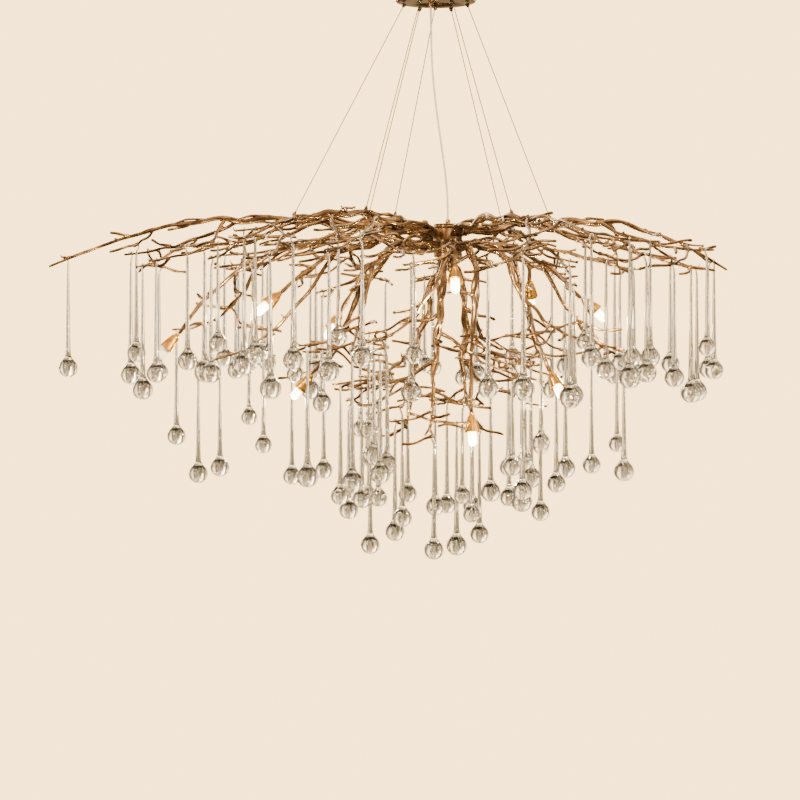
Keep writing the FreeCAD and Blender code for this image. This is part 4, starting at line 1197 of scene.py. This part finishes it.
class CHANDELIER_OT_hub(Operator):
    """Drum, lid and gland at the middle"""
    bl_idname = "chandelier.hub"
    bl_label = "Hub"

    def execute(self, context):
        bronze = bpy.data.materials["aged_bronze"]
        axis = (size.hub_offset_x, 0, 0)
        top = -size.hub_top_depth
        rim = top - size.lid_thickness
        foot = top - size.hub_height
        floor = foot + size.hub_floor
        outer = size.hub_diameter / 2
        inner = outer - size.hub_wall
        drum = [(foot, 1)]
        drum += rows_from(foot, outer, (0, -1.6), (0.5, -0.6), (1.6, 0), (6, 0), (6.6, -0.7),
                          (8.2, -0.7), (8.8, 0))
        drum += rows_from(rim, outer, (-7, 0), (-6.4, -0.7), (-4.8, -0.7), (-4.2, 0),
                          (-0.5, 0), (0, -0.5))
        drum += rows_from(rim, inner, (0, 0.4), (-0.4, 0)) + [(floor, inner), (floor, 1)]
        lid = rows_from(rim - size.lid_spigot, 0, (0, 1), (0, inner - 0.9))
        lid += [(rim + 0.3, inner - 0.6)] + rows_from(rim, outer, (0.3, -0.4), (0.7, 0))
        lid += rows_from(top, outer, (-1, 0), (-0.25, -0.5), (0, -1.6)) + [(top, 1)]
        for name, profile, node in (("hub_drum_shell", drum, "hub_drum"),
                                    ("hub_lid_plate", lid, "hub_lid")):
            placed(mesh_object(name, [lathe(axis, UP, profile, HUB_SIDES)]), bronze, node)
        placed(gland("gland_hub", raised(axis, top + size.seat_gap), UP), bronze, "hub_gland")
        return {"FINISHED"}


def gland(name, foot, aim):
    """A round cord gland with a hexagon at its foot and a domed nut on top."""
    wide, tall = size.gland_width / 2, size.gland_length
    hexagon = shares_of(wide, (0, 0.8), (0, 0.97), (0.3, 1), (3, 1), (3.3, 0.97))
    nut = shares_of(wide, (3.3, 0.84), (6.2, 0.84), (7.3, 0.74), (tall, 0.5), (tall, 0.38))
    return mesh_object(name, [lathe(foot, aim, hexagon, 6), lathe(foot, aim, nut, LAMP_SIDES)],
                       smooth=False)


class CHANDELIER_OT_ceiling(Operator):
    """Canopy with its nuts and gland"""
    bl_idname = "chandelier.ceiling"
    bl_label = "Ceiling pieces"

    def execute(self, context):
        satin = aged_metal("canopy_bronze", (0.2, 0.1, 0.04), (0.42, 0.24, 0.1), 18, 0.5, 0.12)
        rim, deep = size.canopy_diameter / 2, size.canopy_depth
        inside = deep - size.canopy_wall
        cover = rows_from(0, rim, (0, -0.9), (0, -0.1), (0.5, 0))
        cover += rows_from(deep, rim, (-4, 0), (-2.2, -0.5), (-0.8, -1.7), (0, -4))
        cover += [(deep, 1), (inside, 1), (inside, rim - 4.2)]
        cover += rows_from(deep, rim, (-2, -2.3), (-4.2, -size.canopy_wall))
        shell = lathe((0, 0, 0), DOWN, cover, CANOPY_SIDES, closed=True)
        placed(mesh_object("canopy_cover", [shell]), satin, "canopy")
        wide = size.nut_width / 2
        hexagon = shares_of(wide, (0, 0.6), (0, 0.96), (0.3, 1), (3, 1), (3.2, 0.95))
        dome = shares_of(wide, (3.2, 0.8), (4.2, 0.76), (5.2, 0.58), (5.8, 0.34),
                         (size.nut_height, 0.1))
        under = CANOPY_FACE - size.seat_gap
        nuts = []
        for side in (-1, 1):
            top = (0, side * size.stud_spacing / 2, under)
            nuts += [lathe(top, DOWN, hexagon, 6), lathe(top, DOWN, dome, FITTING_SIDES)]
        placed(mesh_object("canopy_nut_caps", nuts, smooth=False), satin, "canopy_dome_nuts")
        foot = (size.gland_offset_x, size.gland_offset_y, under)
        placed(gland("gland_canopy", foot, DOWN), satin, "canopy_gland")
        return {"FINISHED"}


class CHANDELIER_OT_cables(Operator):
    """Steel cables with their bushings and lugs"""
    bl_idname = "chandelier.cables"
    bl_label = "Cables"

    def execute(self, context):
        steel = plain_finish("cable_steel", (0.02, 0.017, 0.013), (0.07, 0.06, 0.05), 900, 0.5,
                             0.1, 0.6, (1, 1, 0.35))
        dark = aged_metal("dark_fittings", (0.03, 0.018, 0.01), (0.16, 0.1, 0.05), 90, 0.45, 0.15)
        tall = size.lug_length
        bushing = shares_of(size.bushing_width / 2, (0, 0.7), (0, 0.9), (0.3, 1),
                            (2.4, 1), (2.8, 0.78), (5.6, 0.7), (6.6, 0.5),
                            (size.bushing_length, 0.3))
        lug = shares_of(size.lug_width / 2, (0, 0.3), (0.4, 0.45), (2.2, 0.52), (3, 0.7),
                        (4.2, 0.8), (6.4, 0.8), (7.6, 0.95), (tall - 0.3, 1), (tall, 0.85))
        bushings, lugs = [], []
        for name, start, along, top, end in cable_lines():
            bushings.append(lathe(start, along, bushing, FITTING_SIDES))
            lugs.append(lathe(end, along, lug, FITTING_SIDES))
            curve = cord_curve("steel_" + name, (top, between(top, end, 0.5), end),
                               size.cable_diameter)
            placed(curve, steel, name)
        placed(mesh_object("bushing_turnings", bushings), dark, "cable_bushings")
        placed(mesh_object("lug_turnings", lugs), dark, "cable_lugs")
        return {"FINISHED"}


def cord_curve(name, points, diameter):
    """A round curve: one spline with the points as its control points."""
    data = bpy.data.curves.new(name, "CURVE")
    data.dimensions = "3D"
    data.bevel_depth = diameter * MM / 2
    data.bevel_resolution = 3
    data.use_fill_caps = True
    spline = data.splines.new("NURBS")
    spline.points.add(len(points) - 1)
    spline.points.foreach_set("co", np.array([(*scaled(p, MM), 1) for p in points]).ravel())
    spline.order_u = 3
    spline.use_endpoint_u = True
    spline.resolution_u = 12
    return linked(name, data)


class CHANDELIER_OT_cord(Operator):
    """Power cord from the canopy to the hub"""
    bl_idname = "chandelier.cord"
    bl_label = "Power cord"

    def execute(self, context):
        plastic = plain_finish("cord_plastic", (0.62, 0.56, 0.46), (0.7, 0.64, 0.54), 60, 0.32,
                               0, 0.1)
        points = cord_points()
        curve = cord_curve("power_cord_sheath", points, size.cord_diameter)
        placed(curve, plastic, "power_cord")
        return {"FINISHED"}


class CHANDELIER_OT_kept_nodes(Operator):
    """Finishes of the solids that stay as they are: the bracket and the terminal block"""
    bl_idname = "chandelier.kept_nodes"
    bl_label = "Bracket and block"

    def execute(self, context):
        for node, *finish in (
                ("ceiling_bracket", "zinc_plating", (0.42, 0.42, 0.41), (0.6, 0.6, 0.58), 140,
                 0.38, 0.9, 0.2),
                ("terminal_block", "block_plastic", (0.72, 0.71, 0.68), (0.8, 0.79, 0.76), 200,
                 0.45, 0, 0.15)):
            painted(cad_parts[node], plain_finish(*finish))
        return {"FINISHED"}


# Stage. Height in the room that glass and metal catch, from straight down at 0 to straight up
# at 1, and its colour there
ROOM_TONES = (
    (0.08, (0.25, 0.19, 0.12)), (0.13, (0.008, 0.006, 0.004)), (0.3, (0.008, 0.006, 0.004)),
    (0.33, (0.48, 0.35, 0.2)), (0.5, (0.8, 0.59, 0.34)), (0.62, (1.15, 0.86, 0.5)),
    (0.75, (2, 1.5, 0.9)), (0.9, (2.7, 2.05, 1.25)))
# Brightness of its panes, by the value of their noise
PANES = ((0.41, (0.3,)), (0.57, (1.3,)), (0.66, (5,)))
# Strip lights: name, place in metres, turn in degrees, width in metres, power
STRIPS = (("key", (-2, -2.2, -0.1), (78, 0, -42), 0.22, 90),
          ("fill", (2.2, -1.6, -0.3), (84, 0, 54), 0.16, 50),
          ("rim", (-1.5, 2.6, 0.2), (74, 0, 210), 0.2, 60))
STRIP_HEIGHT = 2.2
STRIP_COLOUR = (1, 0.9, 0.75)
# The camera's place in X and Z in metres, and the width of its sensor in millimetres
EYE_X = -0.062
EYE_Z = -0.716
SENSOR_WIDTH = 36
# Floor far below the lowest drop
FLOOR = -2900
FLOOR_RADIUS = 950


def floor_disc():
    """A round pale floor of thin card."""
    card = [(-8, 1), (-8, FLOOR_RADIUS), (0, FLOOR_RADIUS), (0, 1)]
    disc = lathe((0, 0, FLOOR), UP, card, CANOPY_SIDES)
    paper = plain_finish("floor_paper", (0.84, 0.76, 0.64), (0.86, 0.78, 0.66), 3, 0.9, 0, 0.02)
    return painted(mesh_object("floor", [disc], smooth=False), paper)


def studio_world(colour, glow):
    """A plain lit backdrop all round; glass and metal catch a soft room that is dark low down."""
    world = bpy.data.worlds.new("studio")
    world.use_nodes = True
    tree = world.node_tree
    way = new_node(tree, "TexCoord")["Generated"]
    height = new_node(tree, "MapRange", {
        "From Min": -1, "Value": new_node(tree, "SeparateXYZ", {0: way})["Z"]})["Result"]
    upright = new_node(tree, "Mapping", {"Scale": (1, 1, 0.25), "Vector": way})["Vector"]
    panes = new_node(tree, "TexNoise", {"Scale": 3.4, "Detail": 1, "Vector": upright})["Fac"]
    soft = tree.nodes["Background"]
    feed(tree, soft, {"Color": ramp(tree, height, *ROOM_TONES),
                      "Strength": ramp(tree, panes, *PANES)})
    plain = new_node(tree, "Background", {"Color": (*colour, 1), "Strength": glow})
    mix = new_node(tree, "MixShader", {0: new_node(tree, "LightPath")["Is Camera Ray"],
                                       1: soft.outputs[0], 2: plain[0]})
    feed(tree, tree.nodes["World Output"], {"Surface": mix[0]})
    return world


class CHANDELIER_OT_stage(Operator):
    """Pale studio, soft lights and the camera"""
    bl_idname = "chandelier.stage"
    bl_label = "Stage"

    def execute(self, context):
        settings = context.scene.chandelier_stage
        context.scene.world = studio_world(settings.backdrop, settings.glow)
        floor_disc()
        for name, place, turn, wide, energy in STRIPS:
            light = new_light(name, "AREA", energy, STRIP_COLOUR)
            light.shape = "RECTANGLE"
            light.size = wide
            light.size_y = STRIP_HEIGHT
            linked(name, light, place).rotation_euler = [radians(a) for a in turn]
        camera = bpy.data.cameras.new("photo_camera")
        camera.lens = settings.lens
        camera.sensor_width = SENSOR_WIDTH
        eye = linked("photo_camera", camera, (EYE_X, -settings.distance, EYE_Z))
        eye.rotation_euler = (radians(90), 0, 0)
        context.scene.camera = eye
        return {"FINISHED"}


class CHANDELIER_PT_panel(Panel):
    """Lists the pieces"""
    bl_idname = "CHANDELIER_PT_panel"
    bl_label = "Chandelier"
    bl_space_type = "VIEW_3D"
    bl_region_type = "UI"
    bl_category = "Chandelier"

    def draw(self, context):
        for group, kind in GROUPS.items():
            for word in kind.__annotations__:
                self.layout.prop(getattr(context.scene, group), word)
        for operator in PIECES:
            self.layout.operator(operator.bl_idname)


GROUPS = {
    "chandelier_frame": ChandelierFrameSettings,
    "chandelier_drops": ChandelierDropSettings,
    "chandelier_lamps": ChandelierLampSettings,
    "chandelier_stage": ChandelierStageSettings,
}
PIECES = (CHANDELIER_OT_stage, CHANDELIER_OT_branches, CHANDELIER_OT_hub, CHANDELIER_OT_ceiling,
          CHANDELIER_OT_cables, CHANDELIER_OT_cord, CHANDELIER_OT_lamps, CHANDELIER_OT_drops,
          CHANDELIER_OT_kept_nodes)


def register():
    for group, kind in GROUPS.items():
        bpy.utils.register_class(kind)
        setattr(bpy.types.Scene, group, PointerProperty(type=kind))
    for kind in PIECES + (CHANDELIER_PT_panel,):
        bpy.utils.register_class(kind)


def unregister():
    for kind in (CHANDELIER_PT_panel,) + PIECES[::-1]:
        bpy.utils.unregister_class(kind)
    for group, kind in GROUPS.items():
        delattr(bpy.types.Scene, group)
        bpy.utils.unregister_class(kind)


def main():
    register()
    for kind in PIECES:
        group, word = kind.bl_idname.split(".")
        getattr(getattr(bpy.ops, group), word)()
    bpy.context.view_layer.update()


if __name__ == "__main__":
    main()
